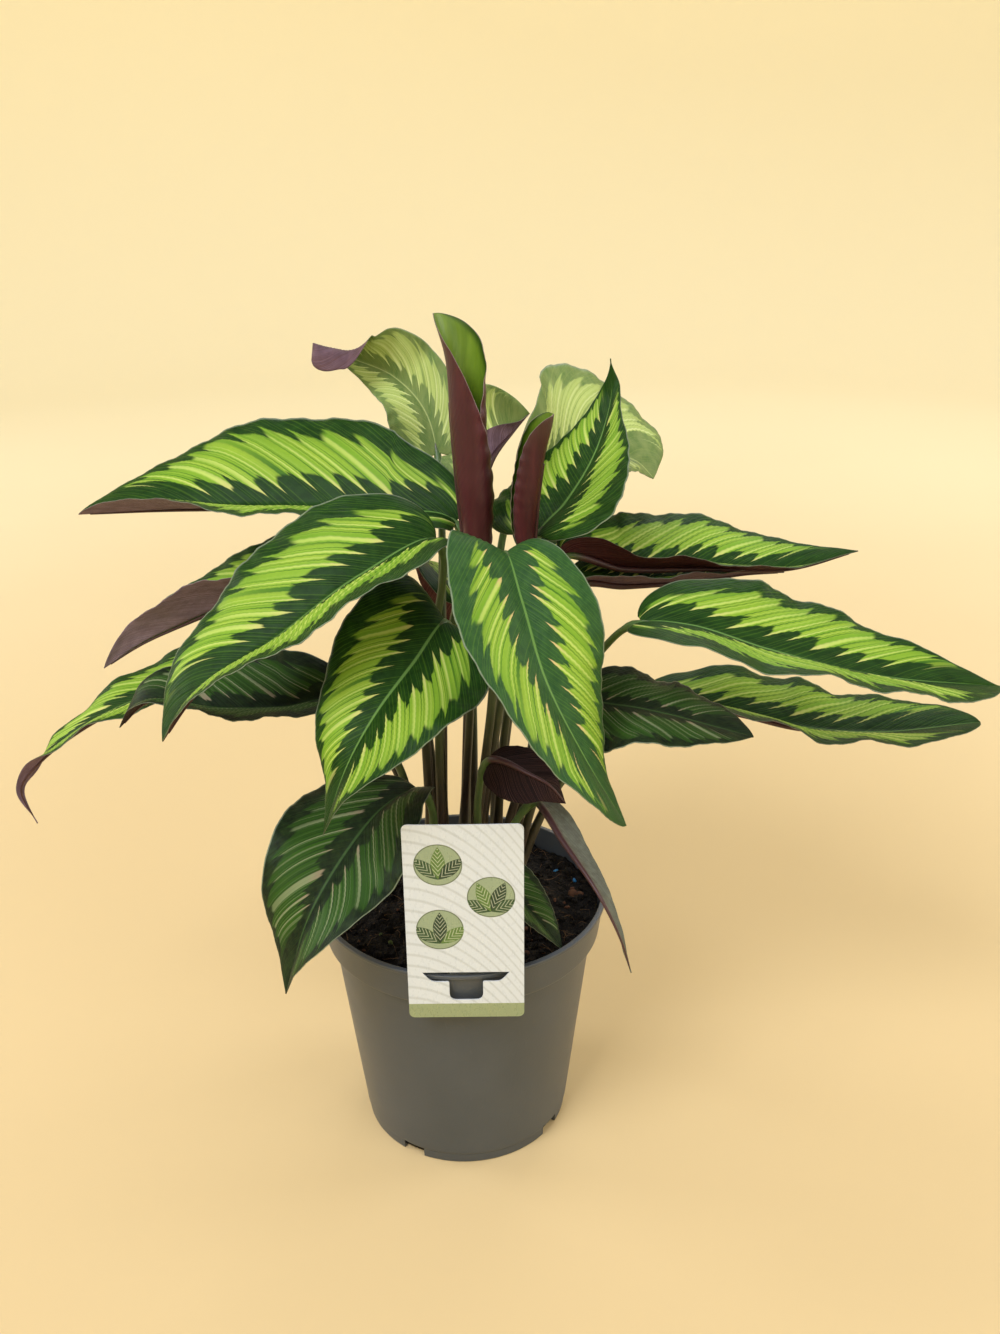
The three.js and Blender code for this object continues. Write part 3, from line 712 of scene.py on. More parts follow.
@dataclass(frozen=True)
class StripedBlade(Finish):
    """A grown calathea blade: waxy upper face with pale bands, maroon lower face.

    The cuticle is smooth and waxy, so the upper face has a broad soft gloss, and the side veins press it
    into low ribs that break the gloss into lines. The lower face is matt, because its cells stand out.

    Attributes:
        dark: Green along the midrib and the margin.
        deep: The same green where it is darkest.
        band: Colour of the pale bands.
        middle: Green between two pale bands.
        line: Fine pale line along each band.
        tip: Colour of a line's point near the midrib.
        crease: Thin dark lines within the bands.
        rib: Colour of the midrib.
        hem: Colour of the thin rim of the margin.
        under: Colour of the lower face.
        grey: The same painted paler, as painted light where a lower face is lit.
        mottled: The same in its cloudy patches.
        under_line: Colour of its veins.
        inner: Where the bands begin, as a share of the half width.
        outer: Where they end.
        depth: How far the dark green bites in between two bands.
        thread: Half width of a band's pale line, as a share of the band.
        teeth: Number of bands along each half.
        box: Size of a leaf's own box in millimetres, over which a pattern with no place of its own is laid.
        blotch: Size of a blotch within the bands, in millimetres.
        cloud: Size of a cloud in the dark green, in millimetres.
        grain: Size of the grain, in millimetres. The leaf's cells are about 0.05 mm, too fine to show.
    """

    dark: str = "#224213"
    deep: str = "#15300c"
    band: str = "#93ae38"
    middle: str = "#6f9a28"
    line: str = "#b9cb66"
    tip: str = "#c4bd74"
    crease: str = "#3f6a1e"
    rib: str = "#6a9048"
    hem: str = "#8f9a80"
    under: str = "#3e1d20"
    grey: str = "#988496"
    mottled: str = "#2f1d1b"
    under_line: str = "#5c403b"
    inner: float = 0.13
    outer: float = 0.9
    depth: float = 0.2
    thread: float = 0.13
    teeth: float = 14.0
    box: float = 252
    blotch: float = 3.6
    cloud: float = 10.5
    grain: float = 0.18

    def bands(self, add: Adder, marks: dict) -> dict:
        """Lays out the bands along each half of the blade.

        Args:
            add: Adds a node to the material.
            marks: Sockets of the leaf's own marks.

        Returns:
            Sockets: "place" counts the bands, "near" is 0 on the line of each and 0.5 between two, "past"
            is how far beyond a band's start a point is, and "left" how far before its end.
        """
        side = add("Math", (marks["reach"],), operation="SIGN")
        own = add("Math", (side, 3.7, marks["seed"]), operation="MULTIPLY_ADD")
        steady = add("Math", (marks["vein"], self.teeth, own), operation="MULTIPLY_ADD")
        wander = add("TexNoise", {"W": steady, "Scale": 0.8}, noise_dimensions="1D")
        place = add("Math", (wander, 1.3, steady), operation="MULTIPLY_ADD")
        number = add("Math", (place,), operation="ROUND")
        off = add("Math", (place, number), operation="SUBTRACT")
        near = add("Math", (off,), operation="ABSOLUTE")
        chance = add("TexWhiteNoise", {"W": number}, noise_dimensions="1D")

        # The start rises steeply beside the line of each band, so that the line stands out as a point.
        doubled = add("Math", (near, -2.0, 1.0), operation="MULTIPLY_ADD")
        hollow = add("Math", (doubled, 2.2), operation="POWER")
        bite = add("Math", (hollow, -self.depth, self.depth), operation="MULTIPLY_ADD")
        foot = add("MapRange", (marks["along"], 0.0, 0.2, 0.3, 0.0), **SMOOTH)
        head = add("MapRange", (marks["along"], 0.66, 0.98, 0.0, 0.5), **SMOOTH)
        ends = add("Math", (foot, head), operation="ADD")
        start = add("Math", (bite, ends), operation="ADD")
        start = add("Math", (chance, 0.1, start), operation="MULTIPLY_ADD")
        start = add("Math", (start, self.inner - 0.05), operation="ADD")
        past = add("Math", (marks["far"], start), operation="SUBTRACT")

        # The outer ends are points as well, shifted against the inner ones.
        shifted = add("Math", (place, 0.36), operation="ADD")
        beyond = add("Math", (shifted, 0.5), operation="PINGPONG")
        fray = add("TexNoise", {"W": place, "Scale": 0.7}, noise_dimensions="1D")
        stop = add("Math", (beyond, -0.34, self.outer + 0.02), operation="MULTIPLY_ADD")
        stop = add("Math", (fray, 0.22, stop), operation="MULTIPLY_ADD")
        base = add("MapRange", (marks["vein"], -0.3, 0.25, -0.34, -0.1), **SMOOTH)
        stop = add("Math", (stop, base), operation="ADD")
        left = add("Math", (stop, marks["far"]), operation="SUBTRACT")
        return {"place": place, "near": near, "past": past, "left": left}

    def shown(self, add: Adder, marks: dict, bands: dict) -> Source:
        """Where the bands show.

        Args:
            add: Adds a node to the material.
            marks: Sockets of the leaf's own marks.
            bands: Sockets of the bands.

        Returns:
            1 within a band and 0 outside.
        """
        result: Source = 1.0
        for limit in (
            (bands["past"], 0.0, 0.04, 0.0, 1.0),
            (bands["left"], 0.0, 0.06, 0.0, 1.0),
            (marks["vein"], -0.2, -0.08, 0.0, 1.0),
            (marks["vein"], 0.62, 0.76, 1.0, 0.0),
            (bands["near"], 0.46, 0.56, 1.0, 0.0),
        ):
            result = add("Math", (add("MapRange", limit, **SMOOTH), result), operation="MULTIPLY")
        return result

    def striped(self, add: Adder, bands: dict, blotch: bpy.types.NodeSocket) -> bpy.types.NodeSocket:
        """Colour within the bands: pale and mid green with fine pale and dark lines.

        Args:
            add: Adds a node to the material.
            bands: Sockets of the bands.
            blotch: A soft cloud from 0 to 1.

        Returns:
            The colour.
        """
        # Three side veins to a band, each a fine pale line with a soft darker slope beside it.
        veins = add("Math", (bands["place"], 3.0, 0.18), operation="MULTIPLY_ADD")
        slope = add("Math", (veins,), operation="FRACT")
        count = add("Math", (veins,), operation="FLOOR")
        lottery = add("TexWhiteNoise", {"W": count}, noise_dimensions="1D")
        shift = add("Math", (lottery, 0.55, 0.2), operation="MULTIPLY_ADD")
        pale = add("Math", (slope, -0.5, shift), operation="MULTIPLY_ADD")
        pale = add("Math", (blotch, 0.5, pale), operation="MULTIPLY_ADD", use_clamp=True)
        edge = add("Math", (veins, 0.5), operation="PINGPONG")
        fine = add("MapRange", (edge, 0.36, 0.5, 0.0, 0.55), **SMOOTH)
        fine = add("Math", (fine, lottery), operation="MULTIPLY")

        # Dark creases run out from the hollows between the points and fade half way.
        crease = add("MapRange", (edge, 0.04, 0.16, 1.0, 0.0), **SMOOTH)
        fade = add("MapRange", (bands["past"], 0.05, 0.55, 1.0, 0.22))
        crease = add("Math", (crease, fade), operation="MULTIPLY")
        shore = add("MapRange", (bands["left"], 0.0, 0.25, 0.75, 0.0))
        shore = add("Math", (shore, blotch), operation="MULTIPLY")

        # The pale line of a band is clearest at its point, which has a colour of its own.
        thread = add("MapRange", (bands["near"], 0.03, self.thread, 1.0, 0.0), **SMOOTH)
        fade = add("MapRange", (bands["past"], 0.1, 0.7, 0.95, 0.4))
        thread = add("Math", (thread, fade), operation="MULTIPLY")
        point = add("MapRange", (bands["past"], 0.03, 0.2, 0.8, 0.0), **SMOOTH)
        point = add("Math", (point, thread), operation="MULTIPLY")
        lines = ((crease, self.crease), (shore, self.crease), (thread, self.line), (point, self.tip))
        return layered(add, self.middle, (pale, self.band), (fine, self.line), *lines)

    def dress(self, add: Adder) -> None:
        """Paints both faces by the leaf's own marks.

        Args:
            add: Adds a node to the material.
        """
        names = ("reach", "vein", "along", "upper", "seed", "bloom")
        marks = {name: add("Attribute", output="Fac", attribute_name=name) for name in names}
        marks["far"] = add("Math", (marks["reach"],), operation="ABSOLUTE")
        blotch = add("TexNoise", {"Scale": self.box / self.blotch, "Detail": 3.0, "Roughness": 0.6})
        cloud = add("TexNoise", {"Scale": self.box / self.cloud, "Detail": 4.0})
        cloud = add("MapRange", (cloud, 0.3, 0.7))
        bands = self.bands(add, marks)
        shown = self.shown(add, marks, bands)
        striped = self.striped(add, bands, blotch)

        # Side veins finer than the bands show faintly over the whole blade.
        veins = add("Math", (bands["place"], 4.0), operation="MULTIPLY")
        ridge = add("Math", (veins, 0.5), operation="PINGPONG")
        groove = add("MapRange", (ridge, 0.02, 0.16, 1.0, 0.0), **SMOOTH)
        faint = add("Math", (groove, 0.16), operation="MULTIPLY")
        midrib = add("MapRange", (marks["far"], 0.01, 0.028, 0.8, 0.0), **SMOOTH)
        hem = add("MapRange", (marks["far"], 0.975, 0.99, 0.0, 0.6), **SMOOTH)
        top = layered(add, self.deep, (cloud, self.dark), (faint, self.middle), (shown, striped))
        top = layered(add, top, (midrib, self.rib), (hem, self.hem))
        # Painted light: each leaf's own mark paints its lower face paler, as where light falls on it, less so
        # in its veins.
        painted_underside_light = add("Math", (groove, -0.55, marks["bloom"]), operation="MULTIPLY_ADD", use_clamp=True)
        patch = add("Math", (cloud, 0.35), operation="MULTIPLY")
        under = layered(add, self.under, (groove, self.under_line), (painted_underside_light, self.grey))
        colour = layered(add, layered(add, under, (patch, self.mottled)), (marks["upper"], top))
        roughness = add("MapRange", {"Value": marks["upper"], "To Min": 0.62, "To Max": 0.46})
        grain = add("TexNoise", {"Scale": self.box / self.grain, "Detail": 2.0})
        relief = add("Math", (grain, 0.15, ridge), operation="MULTIPLY_ADD")
        shade(add, colour, roughness, relief, 0.0002, IOR=1.45, Specular_IOR_Level=0.12)


@dataclass(frozen=True)
class LeafStem(Finish):
    """A grown leaf stalk: smooth and faintly fluted, pale and sheathed at the soil.

    Its skin is a thin waxy layer over fibres, so the gloss runs in a narrow line down its length.

    Attributes:
        foot: Colour at the soil.
        foot_green: The same on a greener stalk.
        low: Colour above the sheath: its own dark colour, darkened further as painted shade under the leaves.
        low_dark: The same on a darker stalk, likewise darkened as painted shade.
        high: Colour under the blade.
        vein: Colour of the midrib under the blade.
        streak: Colour of the dark fibres.
        fibre: Width of a fibre in millimetres.
    """

    foot: str = "#8d7466"
    foot_green: str = "#8b8d70"
    low: str = "#35361f"
    low_dark: str = "#2b1714"
    high: str = "#4e6c34"
    vein: str = "#442527"
    streak: str = "#2c2418"
    fibre: float = 1.111

    def dress(self, add: Adder) -> None:
        """Paints the stem by how far up it a point is.

        Args:
            add: Adds a node to the material.
        """
        climb, seed = (add("Attribute", output="Fac", attribute_name=name) for name in ("climb", "seed"))
        place = add("TexCoord", output="Object")
        tint = add("TexWhiteNoise", {"W": seed}, noise_dimensions="1D")
        drawn = add("Mapping", {"Vector": place, "Scale": (1.0, 1.0, 0.06)})
        fibre = add("TexNoise", {"Vector": drawn, "Scale": METRE / self.fibre, "Detail": 3.0})
        colour = layered(add, self.foot, (tint, self.foot_green))
        # Partly painted shade: above the sheath the stalk turns darker, as in the shade under the leaves.
        low = layered(add, self.low, (tint, self.low_dark))
        for start, end, above in ((0.2, 0.4, low), (0.4, 0.95, self.high), (1.0, 1.08, self.vein)):
            colour = layered(add, colour, (add("MapRange", (climb, start, end), **SMOOTH), above))
        streak = add("MapRange", (fibre, 0.35, 0.7, 0.0, 0.35))
        colour = layered(add, colour, (streak, self.streak))
        shade(add, colour, 0.42, fibre, 0.00012, IOR=1.45)


@dataclass(frozen=True)
class RolledBlade(Finish):
    """A young leaf still rolled up: the maroon lower face is outside and the green upper face inside.

    Its skin is tender and still tight over the veins, so it has a finer gloss than a grown blade.

    Attributes:
        outside: Colour of the lower face.
        light: The same where the skin is thin.
        brown: The same near the tip.
        vein: The same along its veins.
        inside: Colour of the upper face.
        inside_light: The same where the skin is thin.
        inside_dark: Green along its margin.
        hem: Colour of the thin rim of the margin.
        mottle: Width of a patch of thin skin in millimetres.
    """

    outside: str = "#360f15"
    light: str = "#562027"
    brown: str = "#43341f"
    vein: str = "#361a18"
    inside: str = "#56721a"
    inside_light: str = "#7d9a2e"
    inside_dark: str = "#2f4a10"
    hem: str = "#93807a"
    mottle: float = 6.25

    def dress(self, add: Adder) -> None:
        """Paints both faces by the leaf's own marks.

        Args:
            add: Adds a node to the material.
        """
        names = ("reach", "vein", "along", "upper")
        reach, vein, along, upper = (add("Attribute", output="Fac", attribute_name=name) for name in names)
        far = add("Math", (reach,), operation="ABSOLUTE")
        fine = add("Math", (vein, 34.0), operation="MULTIPLY")
        ridge = add("Math", (fine, 0.5), operation="PINGPONG")
        groove = add("MapRange", (ridge, 0.02, 0.2, 1.0, 0.0), **SMOOTH)
        line = add("Math", (groove, 0.3), operation="MULTIPLY")
        place = add("TexCoord", output="Object")
        drawn = add("Mapping", {"Vector": place, "Scale": (1.0, 1.0, 0.12)})
        cloud = add("TexNoise", {"Vector": drawn, "Scale": METRE / self.mottle, "Detail": 4.0})
        veil = add("MapRange", (cloud, 0.35, 0.7, 0.0, 0.6))
        browning = add("MapRange", (along, 0.72, 0.98, 0.0, 0.45), **SMOOTH)
        border = add("MapRange", (far, 0.75, 0.95), **SMOOTH)
        hem = add("MapRange", (far, 0.98, 0.995, 0.0, 0.6), **SMOOTH)
        outside = layered(add, self.outside, (veil, self.light), (browning, self.brown), (line, self.vein))
        inside = layered(add, self.inside, (veil, self.inside_light), (border, self.inside_dark))
        colour = layered(add, outside, (upper, inside), (hem, self.hem))
        shade(add, colour, 0.42, ridge, 0.00005, IOR=1.45, Specular_IOR_Level=0.4)


@dataclass(frozen=True)
class MouldedPot(Finish):
    """Nursery pot polypropylene, injection moulded and coloured grey right through.

    A satin mould leaves a broad soft gloss. Stacking and handling leave fine upright scuffs, and potting
    leaves a little dust and a few specks of soil.

    Attributes:
        colour: Colour of the plastic.
        scuffed: Colour where it is scuffed or dusty.
        speck: Colour of a speck of soil.
        scuff: Width of a scuff in millimetres.
        dust: Size of a dusty patch in millimetres.
        specks: Space from one speck to the next in millimetres.
        peel: Size of the mould's texture in millimetres. It is about 0.1 mm, too fine to show.
    """

    name: str = "polypropylene_moulded_grey"
    colour: str = "#41474d"
    scuffed: str = "#53585d"
    speck: str = "#3d2f22"
    scuff: float = 3.125
    dust: float = 45.5
    specks: float = 3.85
    peel: float = 1.43

    def dress(self, add: Adder) -> None:
        """Paints scuffs, dust and specks over the plastic.

        Args:
            add: Adds a node to the material.
        """
        place = add("TexCoord", output="Object")
        upright = add("Mapping", {"Vector": place, "Scale": (1.0, 1.0, 0.16)})
        scuff = {"Vector": upright, "Scale": METRE / self.scuff, "Detail": 6.0, "Roughness": 0.7}
        scuff = add("MapRange", (add("TexNoise", scuff), 0.58, 0.78), **SMOOTH)
        cloud = add("TexNoise", {"Vector": place, "Scale": METRE / self.dust, "Detail": 4.0})
        cloud = add("MapRange", (cloud, 0.35, 0.75, 0.0, 0.5))
        dust = add("Math", (scuff, 0.35, cloud), operation="MULTIPLY_ADD")
        specks = add("TexVoronoi", {"Vector": place, "Scale": METRE / self.specks})
        specks = add("MapRange", (specks, 0.06, 0.12, 0.6, 0.0))
        sparse = add("TexNoise", {"Vector": place, "Scale": METRE / (4.34 * self.specks)})
        sparse = add("MapRange", (sparse, 0.6, 0.68))
        specks = add("Math", (specks, sparse), operation="MULTIPLY")
        colour = layered(add, self.colour, (dust, self.scuffed), (specks, self.speck))
        roughness = add("MapRange", {"Value": dust, "To Min": 0.34, "To Max": 0.62})
        peel = add("TexNoise", {"Vector": place, "Scale": METRE / self.peel, "Detail": 2.0})
        relief = add("Math", (scuff, -0.4, peel), operation="MULTIPLY_ADD")
        shade(add, colour, roughness, relief, 0.00005, IOR=1.49)


@dataclass(frozen=True)
class Peat(Finish):
    """Moist peat with bark and coir, as it is tipped from the bag.

    It is matt and nearly black where it is wet, with paler fibres and crumbs that have dried.

    Attributes:
        wet: Colour of the wet peat.
        dry: Colour of the dried crumbs.
        grit: Size of a crumb, in millimetres.
        patch: Size of a patch that dries at once, in millimetres.
    """

    name: str = "peat_moist"
    wet: str = "#15110c"
    dry: str = "#43382a"
    grit: float = 1.6
    patch: float = 8.33

    def dress(self, add: Adder) -> None:
        """Paints dried crumbs over the wet peat.

        Args:
            add: Adds a node to the material.
        """
        place = add("TexCoord", output="Object")
        crumbs = add("TexVoronoi", {"Vector": place, "Scale": METRE / self.grit})
        pick = add("SeparateColor", (crumbs.node.outputs["Color"],))
        rare = add("MapRange", (pick, 0.62, 0.95), **SMOOTH)
        cloud = {"Vector": place, "Scale": METRE / self.patch, "Detail": 8.0, "Roughness": 0.7}
        cloud = add("TexNoise", cloud)
        dried = add("MapRange", (cloud, 0.45, 0.75))
        dried = add("Math", (dried, rare), operation="MULTIPLY")
        relief = add("Math", (cloud, 1.0, crumbs), operation="MULTIPLY_ADD")
        shade(add, layered(add, self.wet, (dried, self.dry)), 0.93, relief, 0.0012, IOR=1.35)


@dataclass(frozen=True)
class PlainBit(Finish):
    """A small crumb in the peat of one kind, with its own mottling.

    Attributes:
        colour: Main colour.
        other: Colour of the mottling.
        roughness: Roughness.
        mottle: Size of the mottling in millimetres.
    """

    colour: str
    other: str
    roughness: float = 0.85
    mottle: float = 2.0

    def dress(self, add: Adder) -> None:
        """Paints the mottling.

        Args:
            add: Adds a node to the material.
        """
        place = add("TexCoord", output="Object")
        mottle = add("TexNoise", {"Vector": place, "Scale": METRE / self.mottle, "Detail": 4.0})
        shade(add, layered(add, self.colour, (mottle, self.other)), self.roughness, mottle, 0.0003)


@dataclass(frozen=True)
class PrintedCard(Finish):
    """A hang tag punched from white polystyrene sheet, printed and varnished.

    The varnish gives it an even gloss, broken only by the slight bow of the sheet. The print is three round
    fields with sprigs of leaves, over faint leaf veins, with a band of olive green along the foot.

    Attributes:
        white: Colour of the card.
        shadow: Colour of the faint leaf veins printed over the card.
        disc: Colour of a round field.
        ring: Colour of its edge.
        greens: Colours of the printed leaves.
        pale: Colour of their side veins.
        band: Colour of the foot band.
        radius: Radius of a round field in millimetres.
        roundels: Middle of each round field, and the lean of its leaves.
        foot: Height of the foot band in millimetres.
        veins: Space between the faint veins in millimetres.
        box: Height of the card, over which the haze of the varnish is laid, in millimetres.
        haze: Size of a patch of the haze in millimetres.
    """

    name: str = "polystyrene_card_printed"
    white: str = "#ccd4dc"
    shadow: str = "#a9b0b2"
    disc: str = "#8f9f82"
    ring: str = "#5d6a52"
    greens: tuple[str, ...] = ("#2c4a2c", "#57753a", "#1f3a26")
    pale: str = "#dfe6cc"
    band: str = "#8c9874"
    radius: float = 12.5
    roundels: tuple = ((-13, 97, (-44, 0, 44)), (14, 77, (-66, -22, 22, 66)), (-13, 57, (-52, 52, 0)))
    foot: float = 9
    veins: float = 7.0
    box: float = 121
    haze: float = 3.457

    def printed_leaf(
        self, add: Adder, ground: Source, x: Source, z: Source, angle: float, green: str
    ) -> bpy.types.NodeSocket:
        """Prints one leaf with pale side veins.

        Args:
            add: Adds a node to the material.
            ground: Colour around it.
            x: Place across, from the foot of the leaf.
            z: Height above the foot of the leaf.
            angle: Lean to the right, in degrees.
            green: Its colour.

        Returns:
            The colour with the leaf on it.
        """
        cosine, sine = math.cos(math.radians(angle)), math.sin(math.radians(angle))
        length = (1.15 + 0.45 * cosine) * self.radius
        part = add("Math", (x, sine), operation="MULTIPLY")
        forth = add("Math", (z, cosine, part), operation="MULTIPLY_ADD")
        part = add("Math", (z, -sine), operation="MULTIPLY")
        aside = add("Math", (x, cosine, part), operation="MULTIPLY_ADD")
        share = add("Math", (forth, 1 / length), operation="MULTIPLY", use_clamp=True)
        swell = add("Math", (share, math.pi), operation="MULTIPLY")
        swell = add("Math", (swell,), operation="SINE")
        swell = add("Math", (swell, 0.3 * self.radius), operation="MULTIPLY")
        beside = add("Math", (aside,), operation="ABSOLUTE")
        margin = add("Math", (swell, beside), operation="SUBTRACT")
        leaf = add("MapRange", (margin, 0.0, 0.12))
        stripe = add("Math", (beside, -1.4, forth), operation="MULTIPLY_ADD")
        stripe = add("Math", (stripe, 1.3), operation="PINGPONG")
        stripe = add("MapRange", (stripe, 0.15, 0.45, 0.5, 0.0))
        inside = add("MapRange", (margin, 0.3, 0.5))
        stripe = add("Math", (stripe, inside), operation="MULTIPLY")
        return layered(add, ground, (leaf, green), (stripe, self.pale))

    def roundel(self, add: Adder, x: Source, z: Source, angles: tuple[float, ...]) -> tuple[Source, Source]:
        """Prints one round field with a sprig of leaves.

        Args:
            add: Adds a node to the material.
            x: Place across, from its middle.
            z: Height above its middle.
            angles: Lean of its leaves.

        Returns:
            Where it covers the card, and its colour.
        """
        square = add("Math", (z, z), operation="MULTIPLY")
        square = add("Math", (x, x, square), operation="MULTIPLY_ADD")
        away = add("Math", (square,), operation="SQRT")
        disc = add("MapRange", (away, self.radius - 0.1, self.radius + 0.1, 1.0, 0.0))
        ring = add("MapRange", (away, self.radius - 0.7, self.radius - 0.5))
        sprig = layered(add, self.disc, (ring, self.ring))
        up = add("Math", (z, 0.72 * self.radius), operation="ADD")
        for number, angle in enumerate(angles):
            sprig = self.printed_leaf(add, sprig, x, up, angle, self.greens[number % len(self.greens)])
        return disc, sprig

    def dress(self, add: Adder) -> None:
        """Prints the front by the marks that say how far across and up the card a point is.

        Args:
            add: Adds a node to the material.
        """
        names = ("card_x", "card_z", "front")
        x, z, front = (add("Attribute", output="Fac", attribute_name=name) for name in names)

        # The faint side veins cross the whole card, bent like those of a leaf.
        bow = add("Math", (x, x), operation="MULTIPLY")
        tilt = add("Math", (bow, 0.012, z), operation="MULTIPLY_ADD")
        tilt = add("Math", (x, 0.8, tilt), operation="MULTIPLY_ADD")
        tilt = add("Math", (tilt, 1 / self.veins), operation="MULTIPLY")
        fold = add("Math", (tilt, 0.5), operation="PINGPONG")
        vein = add("MapRange", (fold, 0.02, 0.2, 0.5, 0.0), **SMOOTH)
        colour = layered(add, self.white, (vein, self.shadow))
        for centre_x, centre_z, angles in self.roundels:
            away_x = add("Math", (x, centre_x), operation="SUBTRACT")
            away_z = add("Math", (z, centre_z), operation="SUBTRACT")
            colour = layered(add, colour, self.roundel(add, away_x, away_z, angles))
        band = add("MapRange", (z, self.foot - 0.1, self.foot + 0.1, 1.0, 0.0))
        colour = layered(add, self.white, (front, layered(add, colour, (band, self.band))))
        haze = add("TexNoise", {"Scale": self.box / self.haze, "Detail": 3.0})
        roughness = add("MapRange", (haze, 0.3, 0.7, 0.24, 0.36))
        shade(add, colour, roughness, haze, 0.0002, IOR=1.55)


@dataclass(frozen=True)
class PaperFloor(Finish):
    """Seamless studio paper, pale sand coloured and matt.

    It is uncoated, so it has no gloss, and its tone changes only slowly over its width.
    As painted light, it is painted paler far from the plant, where the wall would be lit more.

    Attributes:
        near: Colour of the paper around the plant.
        far: Colour of the paper far from it, painted paler as painted light on the far wall.
        cloud: Size of the slow changes of tone, in millimetres.
    """

    name: str = "backdrop_paper"
    near: str = "#d3ba89"
    far: str = "#f8ebc4"
    cloud: float = 625

    def dress(self, add: Adder) -> None:
        """Paints the slow change of tone, and the painted light that makes the paper paler far from the
        plant.

        Args:
            add: Adds a node to the material.
        """
        place = add("TexCoord", output="Object")
        cloud = add("TexNoise", {"Vector": place, "Scale": METRE / self.cloud, "Detail": 2.0})
        away = add("VectorMath", (place,), output="Value", operation="LENGTH")
        away = add("Math", (cloud, 0.3, away), operation="MULTIPLY_ADD")
        # Painted light: the paper turns paler with distance from the plant.
        far = add("MapRange", (away, 0.5, 2.4), **SMOOTH)
        shade(add, layered(add, self.near, (far, self.far)), 0.9)


def rounded(corners: list[tuple[FlatPoint, float]], steps: int = 5) -> list[FlatPoint]:
    """Rounds the corners of an outline.

    Args:
        corners: Each corner with its rounding, 0 to leave it sharp.
        steps: Segments in each rounding.

    Returns:
        The points of the rounded outline.
    """
    places = [np.array(corner, float) for corner, _ in corners]
    points = [places[0]]
    for k in range(1, len(corners) - 1):
        corner = places[k]
        before, after = places[k - 1] - corner, places[k + 1] - corner
        near, far = np.linalg.norm(before), np.linalg.norm(after)
        reach = min(corners[k][1], 0.45 * near, 0.45 * far)
        if reach == 0:
            points.append(corner)
            continue
        start, end = corner + before / near * reach, corner + after / far * reach
        for share in np.linspace(0, 1, steps + 1):
            points.append((1 - share) ** 2 * start + 2 * share * (1 - share) * corner + share**2 * end)
    points.append(places[-1])
    return [(float(x), float(z)) for x, z in points]


def turned(profile: list[FlatPoint], sides: int) -> tuple[np.ndarray, list[Face]]:
    """Turns a closed profile about the Z axis; its first and last points are on the axis.

    Args:
        profile: Points as radius and height, from the foot of the axis around to its top.
        sides: Faces around.

    Returns:
        Points and faces of the solid.
    """
    poles = np.array([[0, 0, profile[0][1]], [0, 0, profile[-1][1]]], float)
    points = np.concatenate([circles(profile[1:-1], sides), poles])
    foot, top = len(points) - 2, len(points) - 1
    faces = tube_faces(len(profile) - 2, sides)[:-2]
    for i in range(sides):
        j = (i + 1) % sides
        faces.append((foot, j, i))
        faces.append((foot - sides + i, foot - sides + j, top))
    return points, faces


def cut(piece: bpy.types.Object, tools: list[bpy.types.Object], operation: str = "DIFFERENCE") -> None:
    """Cuts a piece with tools and removes the tools.

    Args:
        piece: The piece, whose mesh is replaced.
        tools: Closed solids.
        operation: What the cut does.
    """
    for tool in tools:
        change = piece.modifiers.new("cut", "BOOLEAN")
        change.object = tool
        change.operation = operation
        change.solver = "EXACT"
    graph = bpy.context.evaluated_depsgraph_get()
    mesh = bpy.data.meshes.new_from_object(piece.evaluated_get(graph))
    piece.modifiers.clear()
    uncut = piece.data
    name = uncut.name
    piece.data = mesh
    bpy.data.meshes.remove(uncut)
    mesh.name = name
    for tool in tools:
        bpy.data.meshes.remove(tool.data)


def box_tool(size: Point, centre: Point, angle: float = 0) -> bpy.types.Object:
    """Makes a block to cut with.

    Args:
        size: Sides in millimetres.
        centre: Its middle, before it is turned.
        angle: Turn about the Z axis, in degrees.

    Returns:
        The block.
    """
    corners = [(x, y, z) for x in (-0.5, 0.5) for y in (-0.5, 0.5) for z in (-0.5, 0.5)]
    points = np.array(corners) * np.array(size) + np.array(centre)
    turn = np.array(Matrix.Rotation(math.radians(angle), 3, "Z"))
    faces = [(0, 1, 3, 2), (4, 6, 7, 5), (0, 4, 5, 1), (2, 3, 7, 6), (0, 2, 6, 4), (1, 5, 7, 3)]
    sheet = Sheet()
    sheet.add(points @ turn.T, faces)
    return sheet.piece("tool", [], smooth=False)


